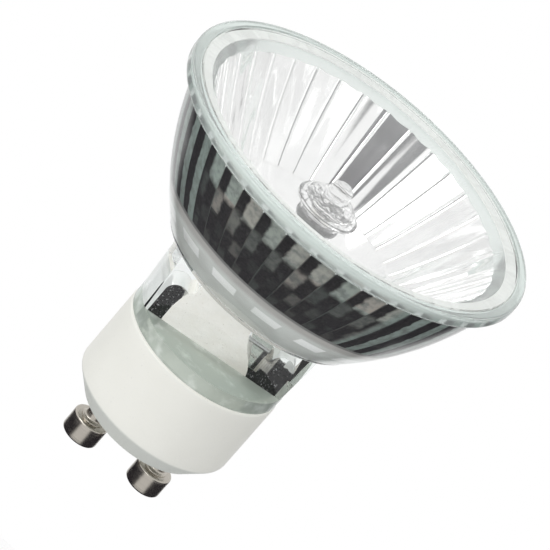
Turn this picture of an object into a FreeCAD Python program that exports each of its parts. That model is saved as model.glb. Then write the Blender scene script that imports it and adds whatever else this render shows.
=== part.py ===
# Twist-in spotlight lamp: a pressed glass reflector with a fluted mirror and a flat cover
# glass, a quartz capsule cemented in its flattened neck, and a ceramic base with two
# headed contact pins.
# Millimetres. The origin is the centre of the ceramic's bottom face, +Z points out of the
# front glass, and X runs along the line through the two pins.
import FreeCAD, Part
import Sketcher
import math
import os

Vector = FreeCAD.Vector

# Each size: its cell name, its value and what it measures.
SIZES = [
    # ceramic base
    ("ceramic_radius", 11.2, "outer radius of the ceramic cup"),
    ("ceramic_height", 13.5, "bottom face to the rim that carries the glass"),
    ("ceramic_cone_height", 2.9, "height of the cone under the straight wall"),
    ("ceramic_foot_radius", 8.7, "radius of the bottom face"),
    ("ceramic_floor", 4.0, "thickness of the cup's floor"),
    ("ceramic_bore_radius", 9.8, "inner radius of the cup"),
    ("ceramic_round", 0.35, "rounding of the ceramic's outer edges"),
    # contact pins and their washers
    ("pin_pitch", 10.0, "distance between the two pins"),
    ("pin_neck_radius", 1.2, "radius of a pin's neck"),
    ("pin_neck_length", 3.9, "neck shown between the ceramic and the head"),
    ("pin_head_radius", 2.5, "radius of a pin's head"),
    ("pin_head_height", 3.0, "height of a pin's head"),
    ("pin_round", 0.3, "rounding of a head's lower edge"),
    ("pin_shoulder", 0.25, "small ring where the neck meets the head"),
    ("pin_bore_radius", 0.55, "bore in the pin that takes the supply lead"),
    ("pin_bore_depth", 5.0, "depth of that bore below the rivet's top"),
    ("rivet_radius", 1.9, "radius of the riveted end inside the cup"),
    ("rivet_height", 0.7, "height of the riveted end"),
    ("washer_radius", 2.3, "radius of the washer under the riveted end"),
    ("washer_height", 0.4, "thickness of that washer"),
    ("pin_clearance", 0.1, "gap between a pin and its hole"),
    # neck of the reflector glass
    ("neck_turn", 8.5, "degrees from the pin line to the neck's flats"),
    ("neck_height", 12.6, "ceramic's rim to the bowl's bottom corner"),
    ("neck_top_radius", 11.77, "neck radius under the bowl"),
    ("foot_radius", 11.1, "radius of the round foot on the ceramic"),
    ("foot_height", 2.1, "height of the round foot below the flats"),
    ("flat_distance", 4.4, "axis to each flat of the neck"),
    ("slot_half_thickness", 3.0, "half the thickness of the slot through the neck"),
    ("slot_half_width", 6.4, "half the width of the slot's upper part"),
    ("pocket_half_width", 9.6, "half the width of the slot's lower part"),
    ("pocket_height", 7.2, "ceramic's rim to the crown of the side pockets"),
    ("tongue_half_width", 8.2, "half the width of the tongues in the cup"),
    ("tongue_length", 5.5, "length of the tongues in the cup"),
    # bowl and flange of the reflector glass
    ("bowl_height", 19.6, "bowl's bottom corner to the front of the rim"),
    ("bowl_bottom_radius", 14.5, "radius of the bowl's bottom corner"),
    ("bowl_arc_radius", 41.6, "radius of the bowl's outer arc"),
    ("rim_radius", 25.0, "outer radius of the flange"),
    ("flange_reach", 1.65, "flange beyond the bowl's outer arc"),
    ("rim_wall", 1.75, "straight outer wall of the flange"),
    ("rim_depth", 2.5, "front of the rim to the bowl's outer arc"),
    ("rim_round", 0.45, "rounding of the flange's edges"),
    ("rim_lip", 1.3, "width of the lip round the recess for the cover glass"),
    ("recess_depth", 1.15, "depth of that recess"),
    ("ledge_width", 1.7, "width of the ledge in the recess"),
    # mirror surface
    ("flutes", 36, "number of flutes round the mirror"),
    ("flute_depth", 0.3, "depth of a flute at the mouth"),
    ("mouth_band", 1.3, "width of the cone from the ledge to the flutes' ridges"),
    ("mouth_drop", 2.4, "front of the rim to the mouth"),
    ("step_inset", 0.83, "bowl's bottom corner to the flutes' ridges at the step"),
    ("step_width", 0.45, "narrow step under the flutes"),
    ("well_floor", 1.4, "bowl's bottom corner to the flat floor round the capsule"),
    ("well_drop", 5.2, "flat floor to the step under the flutes"),
    ("well_radius", 8.0, "radius of that flat floor"),
    ("coating_gap", 0.03, "gap between the glass and its mirror coating"),
    ("coating_thickness", 0.12, "thickness of the mirror coating"),
    # cover glass
    ("seal_thickness", 0.15, "thickness of the sealing ring"),
    ("seal_width", 1.5, "width of the sealing ring"),
    ("seal_margin", 0.2, "sealing ring's distance from the recess wall"),
    ("cover_margin", 0.1, "gap between the cover glass and the recess wall"),
    ("cover_thickness", 0.95, "thickness of the cover glass"),
    ("cover_round", 0.2, "rounding of the cover glass's upper edge"),
    # quartz capsule
    ("capsule_drop", 6.9, "bowl's bottom corner to the seat of the pinch"),
    ("pinch_width", 6.0, "width of the flat pinched end"),
    ("pinch_thickness", 2.6, "thickness of the pinched end"),
    ("pinch_height", 8.3, "height of the pinched end"),
    ("pinch_round", 0.6, "rounding of the pinched end's upright edges"),
    ("stem_radius", 2.75, "outer radius of the capsule's tube"),
    ("collar_height", 17.0, "pinch seat to the rounded collar"),
    ("collar_radius", 3.05, "outer radius of the rounded collar"),
    ("collar_half_height", 0.65, "half the height of the collar"),
    ("collar_round", 0.72, "radius of the collar's rounded flanks"),
    ("waist_radius", 2.65, "outer radius of the waist above the collar"),
    ("shoulder_height", 19.8, "pinch seat to the widest part"),
    ("shoulder_radius", 4.25, "outer radius of the widest part"),
    ("shoulder_round", 0.7, "rounding of the shoulder"),
    ("shoulder_inset", 0.23, "widest part to the ends of that rounding"),
    ("dome_height", 21.2, "pinch seat to the dome at the nib"),
    ("nib_radius", 1.45, "radius of the sealed nib"),
    ("nib_round", 0.6, "rounding of the nib's top"),
    ("nib_top", 23.2, "pinch seat to the nib's top"),
    ("quartz_wall", 0.8, "wall of the capsule"),
    # parts inside the capsule
    ("coil_radius", 0.7, "radius of the filament's coil"),
    ("coil_pitch", 0.75, "pitch of the coil"),
    ("coil_turns", 8.5, "turns of the coil"),
    ("coil_base", 10.6, "pinch seat to the lower end of the coil"),
    ("filament_radius", 0.12, "radius of the coiled wire"),
    ("support_radius", 0.2, "radius of the wires that hold the coil"),
    ("support_offset", 1.4, "axis to the tall support wire"),
    ("wire_gap", 0.04, "gap between a wire and what it passes through"),
    ("foil_offset", 1.3, "axis to the middle of each sealing foil"),
    ("foil_width", 1.6, "width of a sealing foil"),
    ("foil_thickness", 0.1, "thickness of a sealing foil"),
    ("foil_base", 2.0, "pinch seat to the lower end of a foil"),
    ("foil_height", 5.6, "height of a sealing foil"),
    # leads
    ("lead_radius", 0.3, "radius of a capsule lead"),
    ("lead_drop", 0.9, "pinch seat down to the lead's level run"),
    ("wire_bend", 0.7, "bend radius of the wires, on their centre line"),
    ("supply_radius", 0.4, "radius of a supply lead"),
    ("supply_offset", 7.0, "axis to the upright run of a supply lead"),
    ("supply_start", 2.5, "bottom face to the lower end of a supply lead"),
    ("supply_bend_low", 8.6, "bottom face to its lower bend"),
    ("supply_bend_high", 11.2, "bottom face to its upper bend"),
    ("supply_overrun", 0.55, "length above the capsule lead's level run"),
    ("crimp_radius", 0.75, "outer radius of the crimp that joins two leads"),
    ("crimp_height", 1.2, "height of the crimp"),
    ("sleeve_radius", 0.8, "outer radius of the insulating sleeve"),
    ("sleeve_gap", 0.35, "gap between a sleeve and the crimp above it"),
    ("sleeve_length", 5.4, "length of the insulating sleeve"),
    # cements
    ("plug_half_width", 6.0, "half the width of the cement plug"),
    ("plug_top_gap", 0.3, "plug's top below the flat floor"),
    ("plug_bottom", 1.9, "plug's lower end below the ceramic's rim"),
    ("plug_notch_height", 6.6, "ceramic's rim to the notch on the right"),
    ("plug_notch_depth", 1.5, "depth of that notch"),
    ("plug_notch_slope", 2.6, "height of the notch's slanted face"),
    ("channel_overrun", 1.2, "how far a lead's channel runs past the plug's side"),
    ("bed_drop", 0.3, "ceramic's rim to the top of the cement in the cup"),
    ("cement_gap", 0.05, "gap between the cement and what it surrounds"),
]

# Angles and counts that are not lengths.
FULL_TURN = 360.0
RING_LEVELS = 3
# How far past the mouth the flutes' cutting shape reaches, as a share of the cone's height.
CORE_OVERRUN = 0.68
# Radius of a side pocket's crown as a share of half its width.
CROWN_FLATTENING = 1.05

document = FreeCAD.newDocument("spotlight_lamp")
sheet = document.addObject("Spreadsheet::Sheet", "Sizes")
for row, (cell_name, cell_value, meaning) in enumerate(SIZES, start=1):
    sheet.set(f"A{row}", cell_name)
    sheet.set(f"B{row}", str(cell_value))
    sheet.setAlias(f"B{row}", cell_name)
    sheet.set(f"C{row}", meaning)
document.recompute()


class Size:
    """A number from the sheet together with the formula that binds it."""

    def __init__(self, value, formula):
        self.value = value
        self.formula = formula

    def joined(self, other, sign, work):
        if not isinstance(other, Size):
            other = Size(other, repr(other))
        value = work(self.value, other.value)
        return Size(value, f"({self.formula} {sign} {other.formula})")

    def __add__(self, other):
        return self.joined(other, "+", lambda a, b: a + b)

    def __sub__(self, other):
        return self.joined(other, "-", lambda a, b: a - b)

    def __mul__(self, other):
        return self.joined(other, "*", lambda a, b: a * b)

    def __truediv__(self, other):
        return self.joined(other, "/", lambda a, b: a / b)

    def __neg__(self):
        return self * -1


def size(name):
    return Size(float(sheet.get(name)), f"Sizes.{name}")


def root(number):
    return Size(math.sqrt(number.value), f"sqrt({number.formula})")


def cosine(angle):
    return Size(math.cos(math.radians(angle.value)), f"cos({angle.formula} * 1 deg)")


def sine(angle):
    return Size(math.sin(math.radians(angle.value)), f"sin({angle.formula} * 1 deg)")


ZERO = Size(0.0, "0")

# Heights above the ceramic's bottom face that several pieces share.
seat_height = size("ceramic_height")
bowl_bottom = seat_height + size("neck_height")
rim_top = bowl_bottom + size("bowl_height")
ledge_height = rim_top - size("recess_depth")
mouth_height = rim_top - size("mouth_drop")
well_height = bowl_bottom + size("well_floor")
step_height = well_height + size("well_drop")
tongue_bottom = seat_height - size("tongue_length")
pinch_seat = bowl_bottom - size("capsule_drop")
floor_top = size("ceramic_floor")
lead_level = pinch_seat - size("lead_drop")
supply_top = lead_level + size("supply_overrun")

# Radii that follow the flange and the bowl, and the mirror's focal length between them.
bowl_top_radius = size("rim_radius") - size("flange_reach")
recess_radius = size("rim_radius") - size("rim_lip")
ledge_radius = recess_radius - size("ledge_width")
mouth_radius = ledge_radius - size("mouth_band")
step_ridge_radius = size("bowl_bottom_radius") - size("step_inset")
ridge_growth = mouth_radius * mouth_radius - step_ridge_radius * step_ridge_radius
focal_length = ridge_growth / ((mouth_height - step_height) * 4)


def squared_mirror_radius(height):
    """The paraboloid through the flutes' ridges, as radius squared at a height."""
    return mouth_radius * mouth_radius - (mouth_height - height) * 4 * focal_length


def bind(target, path, wanted):
    """Set a property and tie it to the sheet."""
    target.setExpression(path, wanted.formula)


def new_body(label, height=ZERO, across=ZERO, deep=ZERO, turn=ZERO):
    body = document.addObject("PartDesign::Body", label)
    body.Label = label
    body.Placement = FreeCAD.Placement(
        Vector(across.value, deep.value, height.value),
        FreeCAD.Rotation(Vector(0, 0, 1), turn.value),
    )
    bind(body, "Placement.Base.x", across)
    bind(body, "Placement.Base.y", deep)
    bind(body, "Placement.Base.z", height)
    bind(body, "Placement.Rotation.Angle", turn)
    return body


def new_sketch(body, name, plane, height=ZERO):
    """A sketch on one of the body's own planes, raised above it where asked."""
    sketch = body.newObject("Sketcher::SketchObject", name)
    support = [item for item in body.Origin.OriginFeatures if item.Role == plane][0]
    sketch.AttachmentSupport = [(support, "")]
    sketch.MapMode = "FlatFace"
    bind(sketch, "AttachmentOffset.Base.z", height)
    return sketch


def hold(sketch, kind, geometry, point, wanted):
    """Constrain one coordinate or radius of a sketch and tie it to the sheet."""
    if kind == "Radius":
        constraint = Sketcher.Constraint(kind, geometry, wanted.value)
    else:
        constraint = Sketcher.Constraint(kind, geometry, point, wanted.value)
    index = sketch.addConstraint(constraint)
    name = f"{kind}{geometry}_{point}"
    sketch.renameConstraint(index, name)
    bind(sketch, f".Constraints.{name}", wanted)


def arc_between(first, last, radius):
    """The shorter arc that runs counter-clockwise from first to last."""
    chord = last - first
    half = chord.Length / 2
    outward = Vector(chord.y, -chord.x, 0).normalize()
    sagitta = radius - math.sqrt(radius * radius - half * half)
    middle = (first + last) * 0.5 + outward * sagitta
    return Part.Arc(first, middle, last)


def draw(sketch, corners, closed=True):
    """Join corners with lines and arcs.

    A corner is x, y and, where an arc leads to the next corner, its radius: positive for a
    counter-clockwise arc and negative for a clockwise one.
    """
    points = [Vector(corner[0].value, corner[1].value, 0) for corner in corners]
    spans = len(corners) if closed else len(corners) - 1
    ends = []
    for index in range(spans):
        first = points[index]
        last = points[(index + 1) % len(points)]
        radius = corners[index][2].value if len(corners[index]) == 3 else 0
        if radius > 0:
            sketch.addGeometry(arc_between(first, last, radius), False)
        elif radius < 0:
            sketch.addGeometry(arc_between(last, first, -radius), False)
        else:
            sketch.addGeometry(Part.LineSegment(first, last), False)
        ends.append((2, 1) if radius < 0 else (1, 2))
    links = spans if closed else spans - 1
    for index in range(links):
        following = (index + 1) % spans
        sketch.addConstraint(
            Sketcher.Constraint("Coincident", index, ends[index][1], following, ends[following][0])
        )
    for index, corner in enumerate(corners):
        geometry, point = (index, ends[index][0]) if index < spans else (index - 1, ends[-1][1])
        hold(sketch, "DistanceX", geometry, point, corner[0])
        hold(sketch, "DistanceY", geometry, point, corner[1])
        if len(corner) == 3:
            radius = corner[2] if corner[2].value > 0 else -corner[2]
            hold(sketch, "Radius", geometry, 0, radius)
    return sketch


def draw_circle(sketch, across, up, radius):
    index = sketch.addGeometry(
        Part.Circle(Vector(across.value, up.value, 0), Vector(0, 0, 1), radius.value), False
    )
    hold(sketch, "DistanceX", index, 3, across)
    hold(sketch, "DistanceY", index, 3, up)
    hold(sketch, "Radius", index, 0, radius)
    return sketch


def rectangle(left, right, bottom, top):
    return [(left, bottom), (right, bottom), (right, top), (left, top)]


def revolve(body, name, corners):
    """Turn an outline in the body's upright plane about its Z axis."""
    sketch = draw(new_sketch(body, f"{name}_outline", "XZ_Plane"), corners)
    feature = body.newObject("PartDesign::Revolution", name)
    feature.Profile = sketch
    feature.ReferenceAxis = (sketch, ["V_Axis"])
    feature.Angle = FULL_TURN
    return feature


def groove(body, name, corners):
    """Cut a turned hollow out of the body."""
    sketch = draw(new_sketch(body, f"{name}_outline", "XZ_Plane"), corners)
    feature = body.newObject("PartDesign::Groove", name)
    feature.Profile = sketch
    feature.ReferenceAxis = (sketch, ["V_Axis"])
    feature.Angle = FULL_TURN
    return feature


def extrude(body, name, kind, sketch, length, both_ways=False, against=False):
    """A Pad or Pocket of a sketch, to one side or split over both."""
    feature = body.newObject(f"PartDesign::{kind}", name)
    feature.Profile = sketch
    bind(feature, "Length", length)
    feature.SideType = "Symmetric" if both_ways else "One side"
    feature.Reversed = against
    return feature


def bent(route, bend):
    """Replace each inner corner of a route by an arc of the bend's radius."""
    corners = [route[0]]
    for before, corner, after in zip(route, route[1:], route[2:]):
        steps = []
        for start, end in ((before, corner), (corner, after)):
            across = end[0] - start[0]
            up = end[1] - start[1]
            length = root(across * across + up * up)
            steps.append((across / length, up / length))
        (in_across, in_up), (out_across, out_up) = steps
        agreement = in_across * out_across + in_up * out_up
        cut = bend * root((agreement * -1 + 1) / (agreement + 1))
        left_turn = in_across.value * out_up.value - in_up.value * out_across.value > 0
        corners.append((
            corner[0] - in_across * cut,
            corner[1] - in_up * cut,
            bend if left_turn else -bend,
        ))
        corners.append((corner[0] + out_across * cut, corner[1] + out_up * cut))
    return corners + [route[-1]]


def pipe(body, name, kind, route, radius):
    """A round wire, or its channel, along a route in the body's upright plane."""
    corners = bent(route, size("wire_bend"))
    path = draw(new_sketch(body, f"{name}_route", "XZ_Plane"), corners, closed=False)
    start = new_sketch(body, f"{name}_section", "XY_Plane", route[0][1])
    draw_circle(start, route[0][0], ZERO, radius)
    feature = body.newObject(f"PartDesign::{kind}", name)
    feature.Profile = start
    feature.Spine = path
    return feature


def tube(label, inner, outer, length, **where):
    """A plain round tube standing on its own lower end."""
    body = new_body(label, **where)
    revolve(body, "wall", rectangle(inner, outer, ZERO, length))
    return body


def boolean(kind, label, base, tool):
    feature = document.addObject(f"Part::{kind}", label)
    feature.Label = label
    feature.Base = base
    feature.Tool = tool
    return feature


# Reflector glass

def flute_ring(name, height, inset):
    """One scalloped outline of the mirror: an arc per flute between two ridges."""
    ridge = math.sqrt(squared_mirror_radius(height).value) - inset
    depth = size("flute_depth").value * ridge / mouth_radius.value
    count = round(size("flutes").value)
    arcs = []
    for index in range(count):
        directions = [math.radians(FULL_TURN * (index + part) / count) for part in (0, 0.5, 1)]
        radii = [ridge, ridge + depth, ridge]
        spots = [
            Vector(radius * math.cos(angle), radius * math.sin(angle), height.value)
            for radius, angle in zip(radii, directions)
        ]
        arcs.append(Part.Arc(*spots).toShape())
    ring = document.addObject("Part::Feature", name)
    ring.Shape = Part.Wire(arcs)
    return ring


def fluted_core(name, inset):
    """The hollow inside the flutes as a solid, drawn in by a small inset."""
    bottom = step_height + inset
    top = mouth_height + (ledge_height - mouth_height) * CORE_OVERRUN
    rings = []
    for level in range(RING_LEVELS):
        height = bottom + (top - bottom) * (level / (RING_LEVELS - 1))
        rings.append(flute_ring(f"{name}_ring_{level}", height, inset.value))
    core = document.addObject("Part::Loft", name)
    core.Sections = rings
    core.Solid = True
    return core


def cone_radius(height):
    """The band between the ledge and the mouth, as a radius at a height."""
    slope = (ledge_radius - mouth_radius) / (ledge_height - mouth_height)
    return ledge_radius - (ledge_height - height) * slope


def well_corners(inset):
    """The smooth well below the flutes, from the flat floor up to the step."""
    step_radius = step_ridge_radius - size("step_width")
    mean = (step_radius + size("well_radius")) / (focal_length * 4)
    bend = focal_length * 2 * (mean * mean + 1) * root(mean * mean + 1)
    return [
        (ZERO, well_height + inset),
        (size("well_radius") - inset, well_height + inset, bend),
        (step_radius - inset, step_height + inset),
    ]


def glass_blank():
    """The pressed glass without its flutes, in the frame of the neck's flats."""
    body = new_body("glass_blank", turn=size("neck_turn"))
    floor, well_edge, step_edge = well_corners(ZERO)
    core_top = mouth_height - (ledge_height - mouth_height) * CORE_OVERRUN
    rounding = size("rim_round")
    wall_bottom = rim_top - size("rim_wall")
    revolve(body, "pressing", [
        (ZERO, seat_height),
        (size("foot_radius"), seat_height),
        (size("foot_radius"), seat_height + size("foot_height")),
        (size("neck_top_radius"), bowl_bottom),
        (size("bowl_bottom_radius"), bowl_bottom, size("bowl_arc_radius")),
        (bowl_top_radius, rim_top - size("rim_depth")),
        (size("rim_radius") - rounding, wall_bottom, rounding),
        (size("rim_radius"), wall_bottom + rounding),
        (size("rim_radius"), rim_top - rounding, rounding),
        (size("rim_radius") - rounding, rim_top),
        (recess_radius, rim_top),
        (recess_radius, ledge_height),
        (ledge_radius, ledge_height),
        (cone_radius(core_top), core_top),
        (step_edge[0], step_edge[1], -well_edge[2]),
        (well_edge[0], well_edge[1]),
        floor,
    ])
    return body


def cut_neck(body):
    """Flats, tongues, the slot for the capsule and the arched side pockets."""
    half = size("slot_half_thickness")
    flat = size("flat_distance")
    wide = size("tongue_half_width")
    tongues = new_sketch(body, "tongue_outline", "XY_Plane", tongue_bottom)
    draw(tongues, rectangle(-wide, wide, -flat, flat))
    extrude(body, "tongues", "Pad", tongues, size("tongue_length"))
    for side, name in ((-1, "front"), (1, "back")):
        near = flat * side
        far = size("bowl_bottom_radius") * side
        lower, upper = (far, near) if side < 0 else (near, far)
        outline = new_sketch(body, f"{name}_flat_outline", "XY_Plane", seat_height + size("foot_height"))
        draw(outline, rectangle(-size("bowl_bottom_radius"), size("bowl_bottom_radius"), lower, upper))
        height = size("neck_height") - size("foot_height")
        extrude(body, f"{name}_flat", "Pocket", outline, height, against=True)
    narrow = size("slot_half_width")
    broad = size("pocket_half_width")
    crown = seat_height + size("pocket_height")
    arch = (broad - narrow) / 2
    slot = new_sketch(body, "slot_outline", "XZ_Plane")
    draw(slot, [
        (-broad, tongue_bottom),
        (broad, tongue_bottom),
        (broad, crown - arch, arch * CROWN_FLATTENING),
        (narrow, crown - arch),
        (narrow, well_height),
        (-narrow, well_height),
        (-narrow, crown - arch, arch * CROWN_FLATTENING),
        (-broad, crown - arch),
    ])
    extrude(body, "slot", "Pocket", slot, half * 2, both_ways=True)


def reflector_glass():
    body = glass_blank()
    cut_neck(body)
    return boolean("Cut", "reflector_glass", body, fluted_core("flute_space", ZERO))


def coating_form(label, inset):
    """The space inside the mirror, flutes and well together, drawn in by an inset."""
    well = new_body(f"{label}_well", turn=size("neck_turn"))
    revolve(well, "well", well_corners(inset) + [(ZERO, step_height + inset)])
    return boolean("Fuse", label, well, fluted_core(f"{label}_flutes", inset))


def mirror_coating():
    """A thin reflecting layer just inside the glass, open to the slot and the mouth."""
    outer = coating_form("coating_outside", size("coating_gap"))
    inner = coating_form("coating_inside", size("coating_gap") + size("coating_thickness"))
    shell = boolean("Cut", "coating_shell", outer, inner)
    trim = new_body("coating_trim", turn=size("neck_turn"))
    low = mouth_height - size("mouth_drop")
    revolve(trim, "mouth_cone", [
        (ZERO, low),
        (cone_radius(low), low),
        (cone_radius(rim_top), rim_top),
        (ZERO, rim_top),
    ])
    wide = size("slot_half_width") + size("cement_gap")
    thick = size("slot_half_thickness") + size("cement_gap")
    slot = new_sketch(trim, "slot_outline", "XY_Plane", well_height)
    draw(slot, rectangle(-wide, wide, -thick, thick))
    extrude(trim, "slot", "Pad", slot, mouth_height - well_height)
    return boolean("Cut", "mirror_coating", shell, trim)


# Cover glass

def cover_seal():
    outer = recess_radius - size("seal_margin")
    return tube(
        "cover_seal", outer - size("seal_width"), outer, size("seal_thickness"), height=ledge_height
    )


def cover_glass():
    body = new_body("cover_glass", height=ledge_height + size("seal_thickness"))
    edge = recess_radius - size("cover_margin")
    top = size("cover_thickness")
    rounding = size("cover_round")
    revolve(body, "disc", [
        (ZERO, ZERO),
        (edge, ZERO),
        (edge, top - rounding, rounding),
        (edge - rounding, top),
        (ZERO, top),
    ])
    return body


# Quartz capsule, in the frame of the neck's flats, standing on its pinch seat

def capsule_body(label):
    return new_body(label, height=pinch_seat, turn=size("neck_turn"))


def capsule_envelope():
    body = capsule_body("capsule_envelope")
    stem = size("stem_radius")
    wall = size("quartz_wall")
    pinch = size("pinch_height")
    collar_low = size("collar_height") - size("collar_half_height")
    collar_high = size("collar_height") + size("collar_half_height")
    widest = size("shoulder_radius")
    shoulder = size("shoulder_height")
    softening = size("shoulder_round")
    inset = size("shoulder_inset")
    nib = size("nib_radius")
    revolve(body, "bulb", [
        (ZERO, pinch - wall),
        (stem, pinch - wall),
        (stem, collar_low, size("collar_round")),
        (size("collar_radius"), size("collar_height"), size("collar_round")),
        (size("waist_radius"), collar_high),
        (widest - inset, shoulder - softening, softening),
        (widest - inset, shoulder + softening / 2),
        (nib, size("dome_height")),
        (nib, size("nib_top") - size("nib_round"), size("nib_round")),
        (nib - size("nib_round"), size("nib_top")),
        (ZERO, size("nib_top")),
    ])
    upright = new_sketch(body, "pinch_outline", "XY_Plane")
    draw(upright, rounded_rectangle(size("pinch_width"), size("pinch_thickness"), size("pinch_round")))
    extrude(body, "pinch", "Pad", upright, pinch)
    hollow_bottom = pinch + wall / 2
    groove(body, "hollow", [
        (ZERO, hollow_bottom),
        (stem - wall, hollow_bottom),
        (stem - wall, collar_high),
        (widest - inset - wall, shoulder),
        (nib / 2, size("dome_height") - wall),
        (ZERO, size("dome_height") - wall),
    ])
    for side, name in ((-1, "left"), (1, "right")):
        middle = size("foil_offset") * side
        half = size("foil_width") / 2
        thin = size("foil_thickness") / 2
        foil = new_sketch(body, f"foil_slot_outline_{name}", "XY_Plane", size("foil_base"))
        draw(foil, rectangle(middle - half, middle + half, -thin, thin))
        extrude(body, f"foil_slot_{name}", "Pocket", foil, size("foil_height"), against=True)
        below = new_sketch(body, f"lead_hole_outline_{name}", "XY_Plane")
        draw_circle(below, middle, ZERO, size("lead_radius") + size("wire_gap"))
        reach = size("foil_base") + size("wire_gap")
        extrude(body, f"lead_hole_{name}", "Pocket", below, reach, against=True)
        foil_top = size("foil_base") + size("foil_height") - size("wire_gap")
        above = new_sketch(body, f"support_hole_outline_{name}", "XY_Plane", foil_top)
        spot = support_place(side)
        draw_circle(above, spot, ZERO, size("support_radius") + size("wire_gap"))
        extrude(body, f"support_hole_{name}", "Pocket", above, hollow_bottom - foil_top, against=True)
    return body


def support_place(side):
    """The short support stands under the coil's wire, the tall one beside the coil."""
    return size("coil_radius") if side > 0 else -size("support_offset")


def rounded_rectangle(width, depth, rounding):
    across = width / 2
    deep = depth / 2
    return [
        (-across + rounding, -deep),
        (across - rounding, -deep, rounding),
        (across, -deep + rounding),
        (across, deep - rounding, rounding),
        (across - rounding, deep),
        (-across + rounding, deep, rounding),
        (-across, deep - rounding),
        (-across, -deep + rounding, rounding),
    ]


def sealing_foil(name, side):
    body = capsule_body(f"foil_{name}")
    middle = size("foil_offset") * side
    half = size("foil_width") / 2
    thin = size("foil_thickness") / 2
    outline = new_sketch(body, "foil_outline", "XY_Plane", size("foil_base"))
    draw(outline, rectangle(middle - half, middle + half, -thin, thin))
    extrude(body, "foil", "Pad", outline, size("foil_height"))
    return body


def coil_top():
    return size("coil_base") + size("coil_pitch") * size("coil_turns")


def support_wire(name, side):
    """Short and straight on the right; tall and hooked over the coil on the left."""
    body = capsule_body(f"support_{name}")
    foil_top = size("foil_base") + size("foil_height")
    spot = support_place(side)
    reach = size("filament_radius") + size("wire_gap")
    route = [(spot, foil_top), (spot, size("coil_base") - reach)]
    if side < 0:
        level = coil_top() + reach + size("support_radius")
        route = [(spot, foil_top), (spot, level), (-size("coil_radius") / 2, level)]
    pipe(body, "wire", "AdditivePipe", route, size("support_radius"))
    return body


def filament():
    body = capsule_body("filament")
    section = new_sketch(body, "wire_section", "XZ_Plane")
    draw_circle(section, size("coil_radius"), size("coil_base"), size("filament_radius"))
    coil = body.newObject("PartDesign::AdditiveHelix", "coil")
    coil.Profile = section
    coil.ReferenceAxis = (section, ["V_Axis"])
    coil.Mode = "pitch-turns-angle"
    bind(coil, "Pitch", size("coil_pitch"))
    bind(coil, "Turns", size("coil_turns"))
    return body


# Leads

def lead_end():
    """The capsule lead's level run ends at the crimp on the supply lead."""
    return size("supply_offset") - size("crimp_radius") - size("wire_gap")


def lead_route(side):
    spot = size("foil_offset") * side
    level = -size("lead_drop")
    return [(spot, size("foil_base")), (spot, level), (lead_end() * side, level)]


def capsule_lead(name, side):
    body = capsule_body(f"capsule_lead_{name}")
    pipe(body, "wire", "AdditivePipe", lead_route(side), size("lead_radius"))
    return body


def supply_spot(side):
    """Where the upright run of a supply lead stands, seen from above."""
    reach = size("supply_offset") * side
    return reach * cosine(size("neck_turn")), reach * sine(size("neck_turn"))


def supply_lead(name, side):
    """From the pin's bore up, over to the side pocket and up again."""
    across, deep = supply_spot(side)
    pin = size("pin_pitch") / 2 * side
    run = root((across - pin) * (across - pin) + deep * deep)
    lean = math.degrees(math.atan2(deep.value, across.value - pin.value))
    formula = f"atan2({deep.formula}; {across.formula} - {pin.formula}) / 1 deg"
    body = new_body(f"supply_lead_{name}", across=pin, turn=Size(lean, formula))
    route = [
        (ZERO, size("supply_start")),
        (ZERO, size("supply_bend_low")),
        (run, size("supply_bend_high")),
        (run, supply_top),
    ]
    pipe(body, "wire", "AdditivePipe", route, size("supply_radius"))
    return body


def crimp(name, side):
    across, deep = supply_spot(side)
    low = supply_top - size("crimp_height")
    return tube(
        f"crimp_{name}", size("supply_radius") + size("wire_gap"), size("crimp_radius"),
        size("crimp_height"), height=low, across=across, deep=deep,
    )


def sleeve(name, side):
    across, deep = supply_spot(side)
    low = supply_top - size("crimp_height") - size("sleeve_gap") - size("sleeve_length")
    return tube(
        f"sleeve_{name}", size("supply_radius") + size("wire_gap"), size("sleeve_radius"),
        size("sleeve_length"), height=low, across=across, deep=deep,
    )


# Cements

def cement_plug():
    """The plug that holds the pinch in the neck's slot, notched beside the right lead."""
    body = new_body("cement_plug", turn=size("neck_turn"))
    half = size("plug_half_width")
    bottom = seat_height - size("plug_bottom")
    top = well_height - size("plug_top_gap")
    notch = seat_height + size("plug_notch_height")
    inner = half - size("plug_notch_depth")
    outline = draw(new_sketch(body, "plug_outline", "XZ_Plane"), [
        (-half, bottom),
        (half - size("plug_notch_depth") / 2, bottom),
        (half - size("plug_notch_depth") / 2, notch - size("plug_notch_slope")),
        (inner, notch, -size("plug_notch_slope")),
        (half, notch + size("plug_notch_depth") / 2),
        (half, top),
        (-half, top),
    ])
    extrude(body, "plug", "Pad", outline, size("slot_half_thickness") * 2, both_ways=True)
    margin = size("cement_gap") * 2
    seat = new_sketch(body, "pinch_seat_outline", "XY_Plane", pinch_seat)
    wide = size("pinch_width") + margin
    deep = size("pinch_thickness") + margin
    draw(seat, rounded_rectangle(wide, deep, size("pinch_round")))
    extrude(body, "pinch_seat", "Pocket", seat, top - pinch_seat, against=True)
    stem_low = pinch_seat + size("pinch_height") - size("quartz_wall") - size("cement_gap")
    groove(body, "stem_seat", [
        (ZERO, stem_low),
        (size("stem_radius") + size("cement_gap"), stem_low),
        (size("stem_radius") + size("cement_gap"), top),
        (ZERO, top),
    ])
    for side, name in ((-1, "left"), (1, "right")):
        spot = size("foil_offset") * side
        end = (half + size("channel_overrun")) * side
        route = [(spot, pinch_seat), (spot, lead_level), (end, lead_level)]
        pipe(body, f"lead_channel_{name}", "SubtractivePipe", route,
             size("lead_radius") + size("cement_gap"))
    return body


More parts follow.
